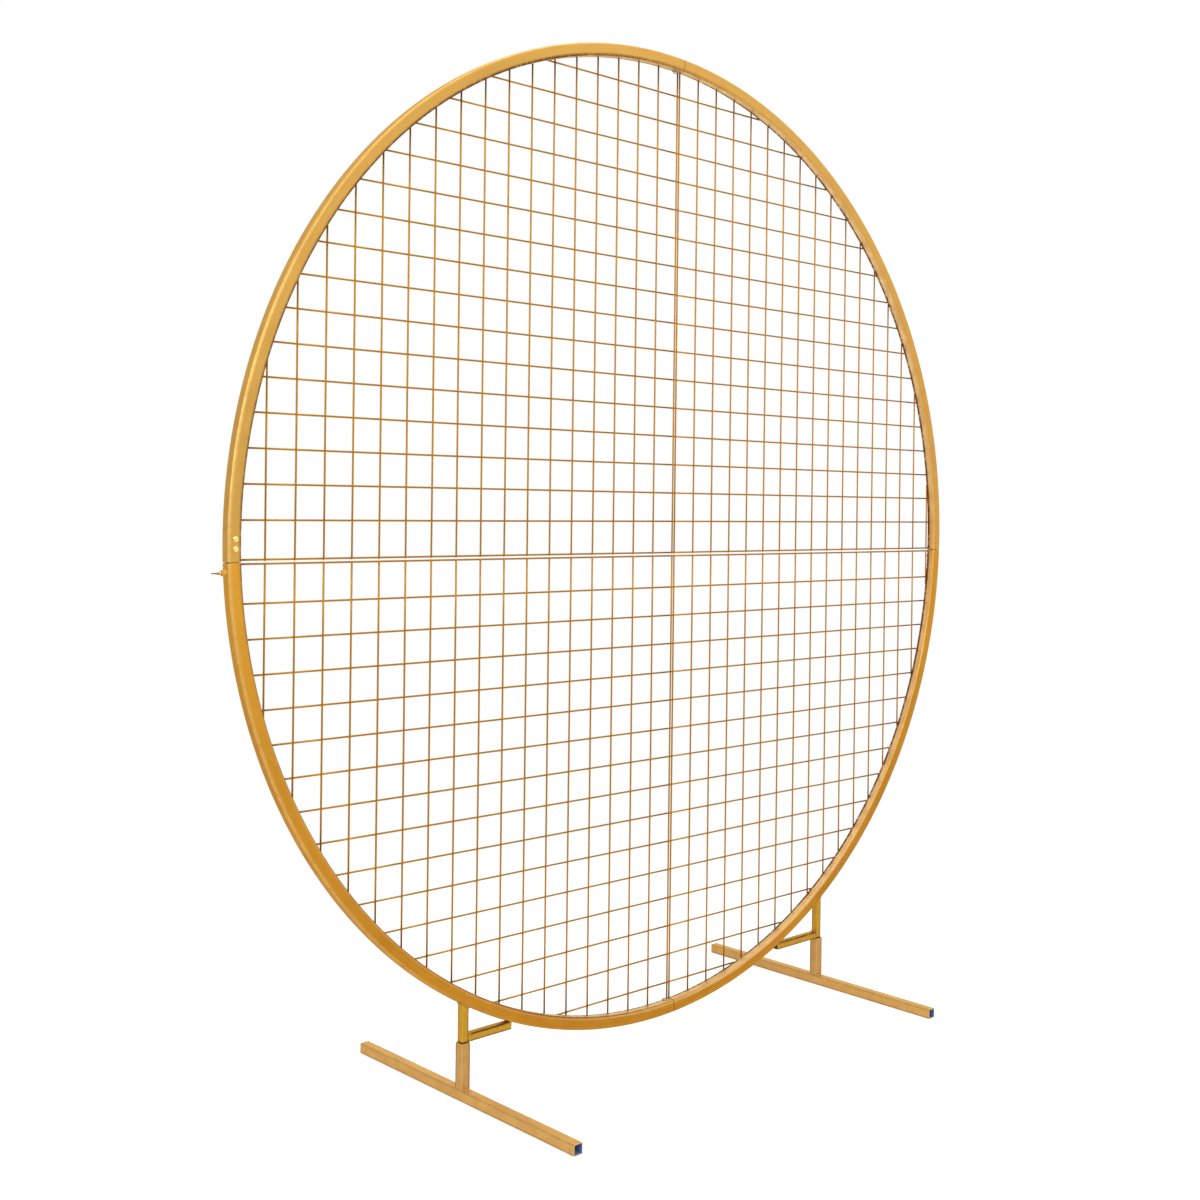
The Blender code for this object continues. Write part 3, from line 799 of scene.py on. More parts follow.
def resample(points, gap, closed):
    """Points at even distances along a line of points."""
    if closed:
        points = points + [points[0]]
    run = [0.0]
    for first, second in zip(points, points[1:]):
        run.append(run[-1] + (second - first).length)
    count = max(4, int(round(run[-1] / gap)))
    made = []
    place = 0
    for step in range(count if closed else count + 1):
        goal = run[-1] * step / count
        while place < len(run) - 2 and run[place + 1] < goal:
            place += 1
        part = (goal - run[place]) / max(run[place + 1] - run[place], 1e-9)
        made.append(points[place].lerp(points[place + 1], part))
    return made


def on_rim(x, y, radius=RIM_RADIUS):
    """Point of a circle of the rim below its centre."""
    return Vector((x, y, RING.z - math.sqrt(radius ** 2 - (x - RING.x) ** 2)))


# ---- rim
def rim_stations(first, last, count):
    """Frames along a quarter, with X outwards, Y to the back and Z along the tube."""
    shorten = JOINT_GAP / 2 / RIM_MIDDLE
    first, last = first + shorten, last - shorten
    close = END_BAND / RIM_MIDDLE
    turns = [first, first + close]
    turns += [first + (last - first) * step / count for step in range(1, count)]
    turns += [last - close, last]
    made = []
    for angle in turns:
        outward = Vector((math.cos(angle), 0, math.sin(angle)))
        along = Vector((-math.sin(angle), 0, math.cos(angle)))
        made.append(frame_at(RING + outward * RIM_MIDDLE, outward, along.cross(outward),
                             along))
    return made


def rim_marks(matrix, x, y, corner_share):
    """Marks of the rim: a little wear and a painted highlight on the outer corners,
    painted light on the inner face, painted shade on the inner corners.

    The painted highlight is strongest at the left, and so is the painted shade at the
    front.
    The outer face has painted shade at the lower left, and the back inner corner a line
    of it.
    """
    out = matrix.translation - RING
    angle = math.degrees(math.atan2(out.z, out.x)) % 360

    def near(middle, gain, less):
        """Strength of a mark around an angle of the rim, from 0 to 1."""
        return held(gain * math.cos(math.radians(angle - middle)) - less)

    # outer corners: a little wear all round and a painted highlight strongest at the
    # left
    if x > 0:
        # painted shade on the outer face at the lower left
        deeper = 0.22 * near(225, 2.0, 0.8) if x > RIM_WIDTH / 2 - 0.0005 else 0.0
        return corner_share * (0.08 + near(185, 1.05, 0.50)), deeper, 0.0
    # painted light on the inner face, weaker at the right
    inner = held((-x - RIM_WIDTH / 2 + 0.0012) / 0.0010)
    inner *= 0.35 + 0.65 * math.sqrt(abs(math.sin(math.radians(angle))))
    if y > 0:
        # a line of painted shade along the back inner corner
        return 0.0, 0.95 if corner_share > 0.01 else 0.0, inner
    below = near(250, 2.4, 0.7)
    edge = near(222, 3.0, 1.6)
    side = held((-x - RIM_WIDTH / 2 + 0.0021) / 0.0008)
    line = max(0.12, near(165, 1.5, -0.15))
    # painted shade along the front inner corner, strongest at the left
    dark = max(corner_share * line * (1 - below), 0.9 * edge * side * (corner_share > 0.1))
    # painted highlight on the front inner corner at the lower left
    pale = 0.6 * below * (1 - 0.7 * edge) * held(corner_share * 1.8)
    return 0.0, dark, max(inner, pale)


# the upper left quarter carries painted shade below its top
RIM_LOOKS = {"upper_left": "deep_gold", "upper_right": "upper_gold",
             "lower_left": "lower_gold", "lower_right": "lower_gold"}


class BACKDROP_OT_rim(bpy.types.Operator):
    """Make the four rolled rim quarters"""

    bl_idname = "backdrop.rim"
    bl_label = "Rim Quarters"

    def execute(self, context):
        """Sweep each quarter between its joints."""
        for side, (first, last, _, _) in QUARTERS.items():
            bm = bmesh.new()
            # each quarter's ends carry painted shade at the joints
            tube(bm, rim_stations(first, last, RIM_STATIONS), RIM_WIDTH, RIM_DEPTH,
                 RIM_WALL, sizes().rim_corner, sizes().end_round, 6, inside_look=1,
                 mark=rim_marks, end_mark=(0.0, 0.20, 0.0))
            add_piece("rim_tube_" + side, bm, [RIM_LOOKS[side], "bare_steel"], side,
                      ["rim_" + side])
        return {"FINISHED"}


# ---- wire grids
def wire_places(seam, split, first_step, pitch, sign):
    """Places of the wires from a seam outwards."""
    places = [seam + sign * split / 2]
    place = places[0] + sign * first_step
    while abs(place) + WIRE_HALF + LAST_WIRE_ROOM < GRID_REACH:
        places.append(place)
        place += sign * pitch
    return places


def grids(seed):
    """Each quarter with its sides, its columns and rows of wires, and its draws."""
    for number, (side, (_, _, side_x, side_z)) in enumerate(QUARTERS.items()):
        columns = wire_places(SEAM_X, SEAM_SPLIT_X, COLUMN_PITCH, COLUMN_PITCH, side_x)
        rows = wire_places(SEAM_Z, SEAM_SPLIT_Z, FIRST_ROW, ROW_PITCH, side_z)
        yield side, side_x, side_z, columns, rows, random.Random(seed + number)


def reach_of(place, further=0.0):
    """Distance at which a wire at this place meets the rim, or its rounded back."""
    return math.sqrt((GRID_REACH + further) ** 2 - place ** 2)


def wire(bm, start, end, draw):
    """Drawn round wire between places from the rim's centre, very slightly bowed."""
    start, end = RING + Vector(start), RING + Vector(end)
    along = (end - start).normalized()
    across = DEEP.cross(along).normalized()
    bow = draw.uniform(-WIRE_BOW, WIRE_BOW)
    count = max(2, int((end - start).length / WIRE_STEP))
    loops = []
    for step in range(count + 1):
        share = step / count
        middle = start.lerp(end, share) + across * bow * math.sin(math.pi * share)
        loops.append([middle + (across * math.cos(a) + Vector((0, math.sin(a), 0)))
                      * WIRE_HALF for a in angles(10)])
    tip = [start.lerp(p, 0.72) - along * 0.0004 for p in loops[0]]
    closed_loft(bm, [tip] + loops)


def lump(bm, centre, axes, draw):
    """Small uneven weld lump with three half sizes along its own axes."""
    made = bmesh.ops.create_icosphere(bm, subdivisions=2, radius=1.0)
    shift = Vector([draw.uniform(-9, 9) for _ in range(3)])
    for vert in made["verts"]:
        unit = vert.co.normalized()
        size = 1 + 0.16 * noise.noise(unit * 1.6 + shift)
        reach = axes[0] * unit.x + axes[1] * unit.y + axes[2] * unit.z
        vert.co = centre + reach * size


def rim_ways(place):
    """Directions outwards and along the rim at a place from its centre."""
    out = Vector((place[0], 0, place[-1])).normalized()
    return out, Vector((-out.z, 0, out.x))


class BACKDROP_OT_grids(bpy.types.Operator):
    """Make the round wires of the four grids"""

    bl_idname = "backdrop.grids"
    bl_label = "Wire Grids"

    def execute(self, context):
        """Lay upright wires in front of level wires, from the seams to the rim."""
        front, back = GRID_SETBACK - LAYER, GRID_SETBACK + LAYER
        for side, side_x, side_z, columns, rows, draw in grids(40):
            bm = bmesh.new()
            for x in columns:
                wire(bm, (x, front, rows[0] - side_z * WIRE_HALF),
                     (x, front, side_z * reach_of(x)), draw)
            for z in rows:
                wire(bm, (columns[0] - side_x * WIRE_HALF, back, z),
                     (side_x * reach_of(z, LEVEL_WIRE_EXTRA), back, z), draw)
            add_piece("wires_" + side, bm, ["wire_gold"], side,
                      ["grid_" + side], False)
        return {"FINISHED"}


class BACKDROP_OT_grid_welds(bpy.types.Operator):
    """Make the welds of the wires at each crossing and on the rim"""

    bl_idname = "backdrop.grid_welds"
    bl_label = "Grid Welds"

    def execute(self, context):
        """Put a small lump at each crossing and a flat one at each wire end."""
        half = sizes().nugget
        spot = sizes().rim_spot
        for side, side_x, side_z, columns, rows, draw in grids(80):
            bm = bmesh.new()
            mark_layers(bm)
            for x in columns:
                for z in rows:
                    if math.hypot(x, z) > GRID_REACH - 0.004:
                        continue
                    size = half * draw.uniform(0.88, 1.12)
                    axes = (Vector((size, 0, 0)), Vector((0, half * 0.72, 0)),
                            Vector((0, 0, size)))
                    lump(bm, RING + Vector((x, GRID_SETBACK, z)), axes, draw)
            add_weld("crossing_welds_" + side, bm, "weld_gold", side)
            bm = bmesh.new()
            mark_layers(bm)
            ends = [(x, GRID_SETBACK - LAYER, side_z * reach_of(x)) for x in columns]
            ends += [(side_x * reach_of(z), GRID_SETBACK + LAYER - SPOT_FORWARD, z)
                     for z in rows]
            for end in ends:
                out, along = rim_ways(end)
                wide = spot * draw.uniform(0.70, 0.95)
                axes = (out * SPOT_HEIGHT, along * wide, Vector((0, spot * 0.75, 0)))
                centre = RING + out * (RIM_INNER + SPOT_SINK) + Vector((0, end[1], 0))
                lump(bm, centre, axes, draw)
            add_weld("rim_spots_" + side, bm, "wire_weld", side)
        return {"FINISHED"}


# ---- joints
def sleeve_middle(seam, fixed):
    """Distance of a sleeve's axis from the rim's centre, midway in its play."""
    ends = [seam - SLEEVE_INSERT, seam, seam + fixed]
    if ends[0] < 0 < ends[2]:
        ends.append(0.0)
    reach = [math.sqrt(RIM_MIDDLE ** 2 - end ** 2) for end in ends]
    return (min(reach) + max(reach)) / 2


MIDDLE = {"Z": sleeve_middle(SEAM_Z, SIDE_SLEEVE_FIXED),
          "X": sleeve_middle(SEAM_X, CROWN_SLEEVE_FIXED)}


def at(joint, along, radial, deep):
    """Point near a joint: along its slide, out from the centre, and deep."""
    sign, axis = JOINTS[joint][:2]
    if axis == "Z":
        return RING + Vector((sign * radial, deep, SEAM_Z + along))
    return RING + Vector((SEAM_X + along, deep, sign * radial))


class BACKDROP_OT_sleeves(bpy.types.Operator):
    """Make the plated inner sleeves of the four joints"""

    bl_idname = "backdrop.sleeves"
    bl_label = "Joint Sleeves"

    def execute(self, context):
        """Lay each sleeve along its slide."""
        for joint, (_, axis, holder, _, _, _) in JOINTS.items():
            fixed = SIDE_SLEEVE_FIXED if axis == "Z" else CROWN_SLEEVE_FIXED
            start = at(joint, -SLEEVE_INSERT, MIDDLE[axis], 0.0)
            end = at(joint, fixed, MIDDLE[axis], 0.0)
            bm = bmesh.new()
            tube(bm, spread_stations(start, end), SLEEVE_WIDTH, SLEEVE_DEPTH,
                 SLEEVE_WALL, sizes().rim_corner * 0.8, SLEEVE_END_ROUND)
            add_piece("plug_sleeve_" + joint, bm, ["zinc"], holder,
                      ["sleeve_" + joint])
        return {"FINISHED"}


def domed_screw(bm, matrix, depth_in):
    """Domed screw: a pan head with a cross recess and a threaded shank."""
    steps, rings = 48, 12
    radius = FIX_HEAD / 2
    loops = []
    for ring in range(1, rings + 1):
        share = ring / rings
        dome = TOUCH + FIX_HEAD_HEIGHT * math.sqrt(1 - (share * 0.985) ** 2)
        loop = []
        for angle in angles(steps):
            x, y = radius * share * math.cos(angle), radius * share * math.sin(angle)
            side, out = sorted((abs(x), abs(y)))
            edge = max((side - CROSS_ARM) / CROSS_SIDE_SLOPE,
                       (out - CROSS_REACH) / CROSS_END_SLOPE, 0.0)
            cut = CROSS_DEPTH * (1 - min(1.0, edge)) * (1 - out / CROSS_RUN_OUT)
            loop.append(matrix @ Vector((x, y, dome - cut)))
        loops.append(loop)
    rows = loft(bm, loops + [circle(matrix, radius, TOUCH, steps)])
    bottom = Vector((0, 0, TOUCH + FIX_HEAD_HEIGHT - CROSS_DEPTH))
    middle = bm.verts.new(matrix @ bottom)
    for step in range(steps):
        bm.faces.new((middle, rows[0][step], rows[0][(step + 1) % steps]))
    bm.faces.new(rows[-1])
    threaded(bm, matrix, -depth_in, TOUCH, FIX_SHANK / 2, FIX_TOOTH, FIX_THREAD)


class BACKDROP_OT_fixing_screws(bpy.types.Operator):
    """Make the domed screws that hold each sleeve"""

    bl_idname = "backdrop.fixing_screws"
    bl_label = "Domed Screws"

    def execute(self, context):
        """Put two screws on each joint, on its front or back face."""
        depth_in = RIM_WALL + TOUCH + SLEEVE_WALL + FIX_TIP
        for joint, (_, axis, holder, _, face, _) in JOINTS.items():
            front = -1 if face == "front" else 1
            for number in (1, 2):
                along = FIX_FIRST[axis] + (number - 1) * FIX_PITCH[axis]
                place = at(joint, along, MIDDLE[axis], front * RIM_DEPTH / 2)
                spin = Matrix.Rotation(math.radians(17 + 53 * number), 4, "Z")
                bm = bmesh.new()
                domed_screw(bm, facing(place, (0, front, 0)) @ spin, depth_in)
                add_piece("domed_screw_%s_%d" % (joint, number), bm, ["brass"], holder,
                          ["fixing_screw_%s_%d" % (joint, number)])
        return {"FINISHED"}


def clamp_frame(joint):
    """Frame of a clamp screw on the rim's face, and how far the shank goes in."""
    sign, axis, _, _, _, place_of = JOINTS[joint]
    seam = SEAM_Z if axis == "Z" else SEAM_X
    angle = math.asin((seam - CLAMP_BACK[axis]) / RIM_MIDDLE)
    if axis == "Z":
        radial = Vector((sign * math.cos(angle), 0, math.sin(angle)))
    else:
        radial = Vector((math.sin(angle), 0, sign * math.cos(angle)))
    tilt_room = CLAMP_SHANK / 2 * abs(math.sin(angle)) + CLAMP_TIP_ROOM
    half = SLEEVE_WIDTH / 2
    if place_of == "back":
        place = RING + radial * MIDDLE[axis] + DEEP * (RIM_DEPTH / 2)
        return facing(place, DEEP), (RIM_DEPTH / 2 - SLEEVE_DEPTH / 2
                                     - CLAMP_TIP_ROOM)
    if place_of == "outer":
        inward = RIM_RADIUS - (MIDDLE[axis] + half) / math.cos(angle) - tilt_room
        return facing(RING + radial * RIM_RADIUS, radial), inward
    inner = RIM_INNER - INNER_NUT_RISE
    inward = (MIDDLE[axis] - half) / math.cos(angle) - tilt_room - inner
    return facing(RING + radial * inner, -radial), inward


def weld_nut(bm, matrix, outer):
    """Nut with a bore: a cone on the outer joint, a low hexagon elsewhere."""
    bore, base = CLAMP_SHANK / 2 + TOUCH, NUT_BASE / 2
    height = NUT_HEIGHT if outer else LOW_NUT_HEIGHT
    levels = [(bore, 0.0), (base - 0.0003, 0.0), (base, 0.08)]
    if outer:
        top = NUT_TOP / 2
        levels += [(base, 0.15), (top + 0.0006, 0.72), (top, 0.94), (top - 0.0004, 1.0)]
    else:
        levels += [(base, 0.80), (base - 0.0006, 1.0)]
    levels += [(bore + 0.0004, 1.0), (bore, 0.92)]
    loops = []
    for radius, share in levels:
        def size(_, angle):
            """Radius of the nut at an angle."""
            return radius if outer else min(radius, hexagon(base, angle))

        loops.append(circle(matrix, size, TOUCH + height * share, 36))
    loft(bm, loops, True)
    return height


def wing_screw(bm, matrix, seat):
    """Head of a cast wing screw: a hub and two rounded ears in one body."""
    hub = WING_HUB / 2
    profile = ((0.62, 0.0044), (0.86, 0.0037), (1.0, 0.0022), (1.0, 0.0004),
               (0.92, 0.0))
    closed_loft(bm, [circle(matrix, hub * share, seat + height, 28)
                     for share, height in profile])
    for face in bm.faces:
        face.material_index = 1
    # half of the ears' outline: (out from the axis, upper edge, lower edge)
    line = [(0.0, 0.0150, 0.0099), (0.0021, 0.0156, 0.0100),
            (0.0040, 0.0187, 0.0108), (0.0056, 0.0210, 0.0122),
            (0.0074, 0.0219, 0.0126), (0.0091, 0.0211, 0.0138),
            (0.0102, 0.0197, 0.0150), (0.0109, 0.0176, 0.0168)]
    loops = []
    for x, top, low in [(-x, top, low) for x, top, low in reversed(line[1:])] + line:
        thick = 0.0013 - 0.0004 * abs(x) / 0.011
        middle, half = (top + low) / 2, (top - low) / 2
        loop = []
        for angle in angles(16):
            square = 1 / max(abs(math.cos(angle)), abs(math.sin(angle))) ** 0.35
            deep = thick * math.cos(angle) * square
            loop.append(matrix @ Vector((deep, x, middle + half * math.sin(angle))))
        loops.append(loop)
    closed_loft(bm, loops)


def clamp_knob(bm, matrix, seat):
    """Head of a low round clamp screw: knurled, with a hexagon socket."""
    radius, top = KNOB_HEAD / 2, seat + KNOB_HEIGHT

    def knurled(step, _):
        """Radius of the head, lower at every other step."""
        return radius - KNURL * (step % 2)

    profile = ((radius * 0.9, seat), (knurled, seat + 0.0004), (knurled, top - 0.0010),
               (radius * 0.93, top - 0.0004), (radius * 0.82, top),
               (lambda _, angle: hexagon(0.0023, angle), top),
               (lambda _, angle: hexagon(0.0021, angle), top - 0.0003),
               (lambda _, angle: hexagon(0.0021, angle), top - 0.0014))
    closed_loft(bm, [circle(matrix, size, height, 48) for size, height in profile])


def spill_weld(bm, place):
    """Weld run out on the rim's inner face on both sides of a nut."""
    draw = random.Random(310)
    out, along = rim_ways(place - RING)
    for offset, wide in ((-0.0105, 0.0040), (0.0100, 0.0032)):
        centre = RING + out * RIM_INNER + along * offset
        axes = (out * 0.0011, along * wide, Vector((0, 0.0048, 0)))
        lump(bm, centre, axes, draw)


NUT_WELD_LOOKS = {"left": "rim_weld", "right": "nut_weld", "top": "nut_weld",
                  "bottom": "pale_weld"}


class BACKDROP_OT_clamps(bpy.types.Operator):
    """Make the welded nuts and the clamp screws of the joints"""

    bl_idname = "backdrop.clamps"
    bl_label = "Clamp Screws"

    def execute(self, context):
        """Put a nut with its weld and a screw on each joint."""
        for number, (joint, facts) in enumerate(JOINTS.items()):
            carrier, outer = facts[3], facts[5] == "outer"
            matrix, reach_in = clamp_frame(joint)
            bm = bmesh.new()
            height = weld_nut(bm, matrix, outer)
            add_piece("weld_nut_" + joint, bm, ["rim_weld"], carrier,
                      ["clamp_nut_" + joint])
            ring = circle(matrix, NUT_BASE / 2 + 0.0001, 0.0003, 40)
            bm = bmesh.new()
            bead(bm, ring, NUT_BEAD, True, 300 + number, matrix.to_3x3() @ UP)
            if joint == "bottom":
                spill_weld(bm, matrix.translation)
            add_weld("nut_weld_" + joint, bm, NUT_WELD_LOOKS[joint], carrier)
            bm = bmesh.new()
            seat = TOUCH + height + SCREW_HEAD_ROOM
            kind, make, looks, sunk = (
                ("wing", wing_screw, ["bronze", "brass"], 0.0005) if outer
                else ("knob", clamp_knob, ["nickel"], 0.0003))
            make(bm, matrix, seat)
            threaded(bm, matrix, -reach_in, seat + sunk, CLAMP_SHANK / 2, CLAMP_TOOTH,
                     sizes().thread, 24)
            add_piece("clamp_%s_%s" % (kind, joint), bm, looks, "clamp_" + joint,
                      ["clamp_screw_" + joint])
        return {"FINISHED"}


# ---- legs and feet
ARM_DROP = RING.z - (ARM_BASE + LEG_SIZE)
ARM_END = math.sqrt(RIM_RADIUS ** 2 - ARM_DROP ** 2) - ARM_OVERRUN
COPE_START = 0.010
COPE_BAND = 0.014
BEAD_LIFT = 0.0004


def square_tube(name, node, stations, size, wall, corner, steps, look, body, slot,
                **more):
    """Piece of square tube with bare steel inside."""
    bm = bmesh.new()
    tube(bm, stations, size, size, wall, corner, sizes().end_round, steps,
         inside_look=1, **more)
    add_piece(name, bm, [look, "bare_steel"], body, [node])


class BACKDROP_OT_legs(bpy.types.Operator):
    """Make the legs and arms under the rim, with their welds"""

    bl_idname = "backdrop.legs"
    bl_label = "Legs and Arms"

    def execute(self, context):
        """Cope each leg and arm to the rim and bead their welds."""
        corner, bead_size = sizes().leg_corner, sizes().bead
        half = LEG_SIZE / 2
        for number, (side, offset) in enumerate(LEG_X.items()):
            body = "lower_" + side
            sign = 1 if offset > 0 else -1
            x = RING.x + offset
            split = on_rim(RING.x + sign * (abs(offset) - half), 0).z - COPE_START

            def cope(point):
                """Point of a leg's end, moved to the rim."""
                if point.z <= split:
                    return point
                level = on_rim(point.x, 0, RIM_RADIUS + TOUCH).z
                share = min(1.0, (point.z - split) / COPE_BAND)
                return Vector((point.x, point.y, split + (level - split) * share))

            def under(point):
                """Point of an arm, kept below the rim."""
                roof = on_rim(point.x, 0, RIM_RADIUS + TOUCH).z
                return Vector((point.x, point.y, min(point.z, roof)))

            stations = spread_stations((x, 0, LEG_BASE), (x, 0, split + COPE_BAND),
                                       count=12)
            turn = stations[0].to_3x3().to_4x4()
            stations += [Matrix.Translation((x, 0, SOCKET_TOP + rise)) @ turn
                         for rise in LIP_LINE]
            stations.sort(key=lambda matrix: matrix.translation.z)
            square_tube("leg_tube_" + side, "leg_" + side, stations, LEG_SIZE, LEG_WALL,
                        corner, 4, "leg_gold", body, "leg_paint", fit=cope)

            near = RING.x + sign * (abs(offset) - half - TOUCH)
            far, level = RING.x + sign * ARM_END, ARM_BASE + half
            stations = spread_stations((near, 0, level), (far, 0, level),
                                       close=ARM_OVERRUN, count=8)
            square_tube("arm_tube_" + side, "arm_" + side, stations, LEG_SIZE, LEG_WALL,
                        corner, 4, "leg_gold", body, "leg_paint", fit=under,
                        mark=arm_marks)

            bm = bmesh.new()
            wide = LEG_SIZE + BEAD_LIFT
            ring = [on_rim(x + u, v, RIM_RADIUS + BEAD_LIFT)
                    for u, v, _ in tube_outline(wide, wide, corner, 4)]
            bead(bm, ring, bead_size, True, 400 + number, lambda point: RING - point)
            low, high = ARM_BASE + 0.002, ARM_BASE + LEG_SIZE
            arch = [(near, -half, low), (near, -half, high), (near, half, high),
                    (near, half, low)]
            bead(bm, arch, bead_size * 0.8, False, 410 + number, Vector((sign, 0, 0)))
            edge = RING.x + sign * (ARM_END + ARM_OVERRUN)
            bead(bm, [(edge, -half, high), (edge, half, high)], bead_size, False,
                 420 + number)
            add_weld("leg_welds_" + side, bm, "leg_weld", body)
        return {"FINISHED"}


class BACKDROP_OT_feet(bpy.types.Operator):
    """Make the sockets and base bars, with their welds"""

    bl_idname = "backdrop.feet"
    bl_label = "Feet"

    def execute(self, context):
        """Stand each socket on the middle of its base bar."""
        corner = sizes().foot_corner
        half, end = FOOT_TUBE / 2, BAR_LENGTH / 2
        for number, (side, offset) in enumerate(LEG_X.items()):
            body = "foot_" + side
            x = RING.x + offset
            square_tube("foot_socket_" + side, "socket_" + side,
                        spread_stations((x, 0, SOCKET_BASE), (x, 0, SOCKET_TOP)),
                        FOOT_TUBE, SOCKET_WALL, corner, 5, "socket_gold", body,
                        "foot_paint")
            square_tube("foot_bar_" + side, "base_bar_" + side,
                        spread_stations((x, -end, half), (x, end, half), UP, count=16),
                        FOOT_TUBE, BAR_WALL, corner, 5, "foot_gold", body, "foot_paint",
                        mark=bar_marks)
            bm = bmesh.new()
            reach = half - corner
            for front in (-1, 1):
                edge = [(x + u, front * (half + 0.0002), FOOT_TUBE)
                        for u in (-reach, reach)]
                bead(bm, edge, sizes().bead * 1.1, False, 500 + 2 * number + front)
            add_weld("foot_welds_" + side, bm, "foot_weld", body)
        return {"FINISHED"}


# ---- stage
FLOOR_RADIUS = 30.0
FLOOR_DROP = 0.0004
FLOOR_LIFT = 0.48
SHADOWS_TO = 1.0
WHITE_FROM = 2.2
LAMP_TARGET = Vector((0, 0, 1.0))
# lamp: (name, place, size, setting that holds its power)
LAMPS = (("key_lamp", (-0.2, -5.0, 3.3), 3.5, "key"),
         ("top_lamp", (0.0, -0.5, 4.8), 3.0, "top"),
         ("side_lamp", (-4.4, -1.6, 2.8), 3.0, "side"))
CAMERA_PLACE = Vector((-2.19757, -2.18497, 1.10022))
CAMERA_YAW = 0.75103
CAMERA_PITCH = -0.00376
CAMERA_ROLL = 0.01165
CAMERA_SHIFT = -0.07269


def seen_directly(nodes):
    """Share that is 1 where the camera, gloss or glass looks."""
    path = nodes.node("ShaderNodeLightPath")
    total = path["Is Camera Ray"]
    for name in ("Is Glossy Ray", "Is Transmission Ray"):
        total = nodes.times(total, path[name], "MAXIMUM")
    return total


def white_room(strength):
    """World that lights evenly and is seen as white."""
    world = bpy.data.worlds.new("white_room")
    bpy.context.scene.world = world
    nodes = Nodes(world)
    light = nodes.tree.nodes["Background"]
    nodes.feed((1, 1, 1, 1), light.inputs["Color"])
    nodes.feed(strength, light.inputs["Strength"])
    seen = nodes.node("ShaderNodeBackground", {"Color": (1, 1, 1, 1), "Strength": 1.0})
    shown = nodes.blended(seen_directly(nodes), light.outputs["Background"],
                          seen["Background"])
    nodes.feed(shown, nodes.tree.nodes["World Output"].inputs["Surface"])


def floor_paint(rgb):
    """Pale floor that keeps shadows near the stand and turns white further off."""
    paint = Nodes(bpy.data.materials.new("pale_floor"))
    shader = paint.tree.nodes["Principled BSDF"]
    paint.feed((*rgb, 1), shader.inputs["Base Color"])
    paint.feed(0.9, shader.inputs["Roughness"])
    paint.feed(0.0, shader.inputs["Specular IOR Level"])
    plain = shader.outputs["BSDF"]
    lift = paint.node("ShaderNodeEmission", {"Strength": FLOOR_LIFT})["Emission"]
    near = paint.node("ShaderNodeAddShader", {0: plain, 1: lift})["Shader"]
    white = paint.node("ShaderNodeEmission", {"Strength": 1.0})["Emission"]
    place = paint.node("ShaderNodeTexCoord")["Object"]
    far = paint.node("ShaderNodeVectorMath", {0: place}, operation="LENGTH")["Value"]
    fade = paint.spread(far, SHADOWS_TO, WHITE_FROM, interpolation_type="SMOOTHSTEP")
    shown = paint.blended(fade, near, white)
    picked = paint.blended(seen_directly(paint), plain, shown)
    paint.feed(picked, paint.tree.nodes["Material Output"].inputs["Surface"])
    return paint.owner


def soft_lamp(name, place, size, watts):
    """Large square lamp aimed at the stand's middle."""
    data = bpy.data.lights.new(name, "AREA")
    data.shape = "SQUARE"
    data.size = size
    data.energy = watts
    lamp = new_object(name, data)
    lamp.location = place
    aim = LAMP_TARGET - Vector(place)
    lamp.rotation_euler = aim.to_track_quat("-Z", "Y").to_euler()


def add_camera(lens):
    """Camera at the viewing angle of the photograph."""
    level = Vector((math.sin(CAMERA_YAW), math.cos(CAMERA_YAW), 0))
    right = Vector((math.cos(CAMERA_YAW), -math.sin(CAMERA_YAW), 0))
    ahead = level * math.cos(CAMERA_PITCH) + Vector((0, 0, math.sin(CAMERA_PITCH)))
    up = Vector((0, 0, math.cos(CAMERA_PITCH))) - level * math.sin(CAMERA_PITCH)
    across = right * math.cos(CAMERA_ROLL) + up * math.sin(CAMERA_ROLL)
    upright = up * math.cos(CAMERA_ROLL) - right * math.sin(CAMERA_ROLL)
    data = bpy.data.cameras.new("photo_camera")
    data.lens = lens
    data.sensor_width = 36.0
    data.shift_y = CAMERA_SHIFT
    data.clip_end = 200.0
    camera = new_object("photo_camera", data)
    camera.matrix_world = frame_at(CAMERA_PLACE, across, upright, -ahead)
    bpy.context.scene.camera = camera


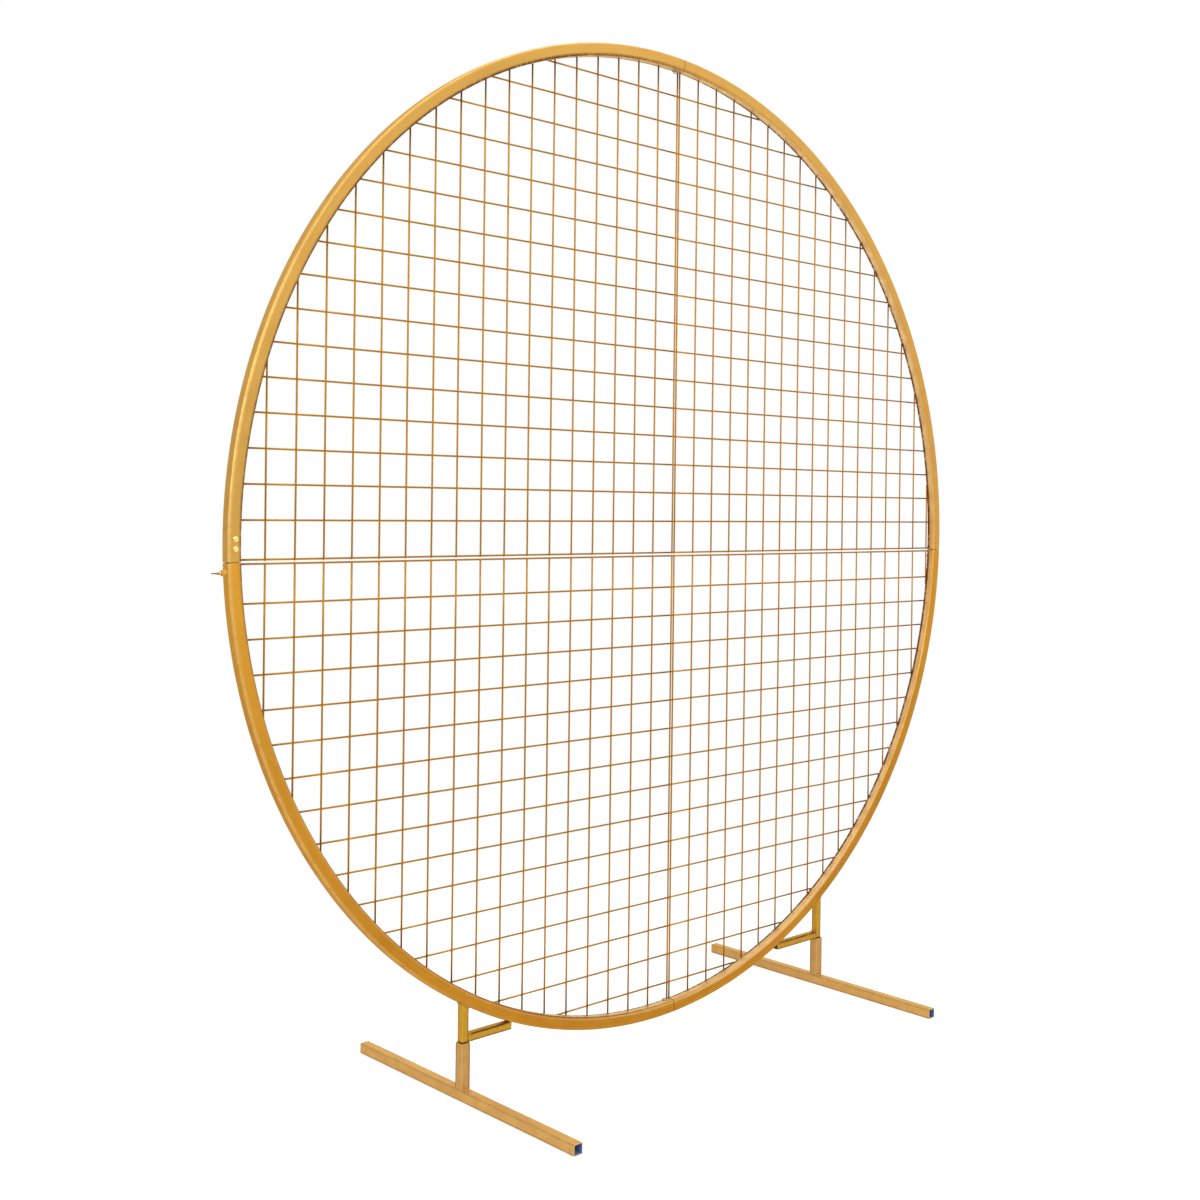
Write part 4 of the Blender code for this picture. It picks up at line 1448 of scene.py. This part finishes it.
class BACKDROP_OT_stage(bpy.types.Operator):
    """Make the floor, the lamps and the camera"""

    bl_idname = "backdrop.stage"
    bl_label = "Floor, Lamps and Camera"

    def execute(self, context):
        """Set the view, and light the stand softly in a white room."""
        stage = context.scene.backdrop_stage
        context.scene.view_settings.view_transform = "Standard"
        white_room(stage.sky)
        bm = bmesh.new()
        bmesh.ops.create_circle(bm, cap_ends=True, segments=64, radius=FLOOR_RADIUS)
        mesh = bpy.data.meshes.new("floor")
        bm.to_mesh(mesh)
        bm.free()
        mesh.materials.append(floor_paint(stage.floor))
        floor = new_object("floor", mesh)
        floor.location = (0, 0, -FLOOR_DROP)
        for name, place, size, setting in LAMPS:
            soft_lamp(name, place, size, getattr(stage, setting))
        add_camera(stage.lens)
        return {"FINISHED"}


# ---- sidebar
OPERATORS = (BACKDROP_OT_rim, BACKDROP_OT_grids, BACKDROP_OT_grid_welds,
             BACKDROP_OT_sleeves, BACKDROP_OT_fixing_screws, BACKDROP_OT_clamps,
             BACKDROP_OT_legs, BACKDROP_OT_feet, BACKDROP_OT_stage)
SETTINGS = {"backdrop_sizes": StandSizes, "backdrop_finishes": StandFinishes,
            "backdrop_stage": StandStage}


class VIEW3D_PT_backdrop_stand(bpy.types.Panel):
    """Sizes, finishes and pieces of the stand"""

    bl_label = "Backdrop Stand"
    bl_space_type = "VIEW_3D"
    bl_region_type = "UI"
    bl_category = "Backdrop Stand"

    def draw(self, context):
        """List the settings, then a button for each group of pieces."""
        for key, group in SETTINGS.items():
            box = self.layout.box()
            for name in group.__annotations__:
                box.prop(getattr(context.scene, key), name)
        column = self.layout.column()
        for operator in OPERATORS:
            column.operator(operator.bl_idname)


CLASSES = (*SETTINGS.values(), *OPERATORS, VIEW3D_PT_backdrop_stand)


def register():
    """Register the classes and their settings."""
    for item in CLASSES:
        bpy.utils.register_class(item)
    for key, group in SETTINGS.items():
        setattr(bpy.types.Scene, key, bpy.props.PointerProperty(type=group))


def unregister():
    """Take the settings and classes out again."""
    for key in SETTINGS:
        delattr(bpy.types.Scene, key)
    for item in reversed(CLASSES):
        bpy.utils.unregister_class(item)


def main():
    """Build every piece and the stage."""
    register()
    bpy.ops.backdrop.rim()
    bpy.ops.backdrop.grids()
    bpy.ops.backdrop.grid_welds()
    bpy.ops.backdrop.sleeves()
    bpy.ops.backdrop.fixing_screws()
    bpy.ops.backdrop.clamps()
    bpy.ops.backdrop.legs()
    bpy.ops.backdrop.feet()
    bpy.ops.backdrop.stage()


if __name__ == "__main__":
    main()
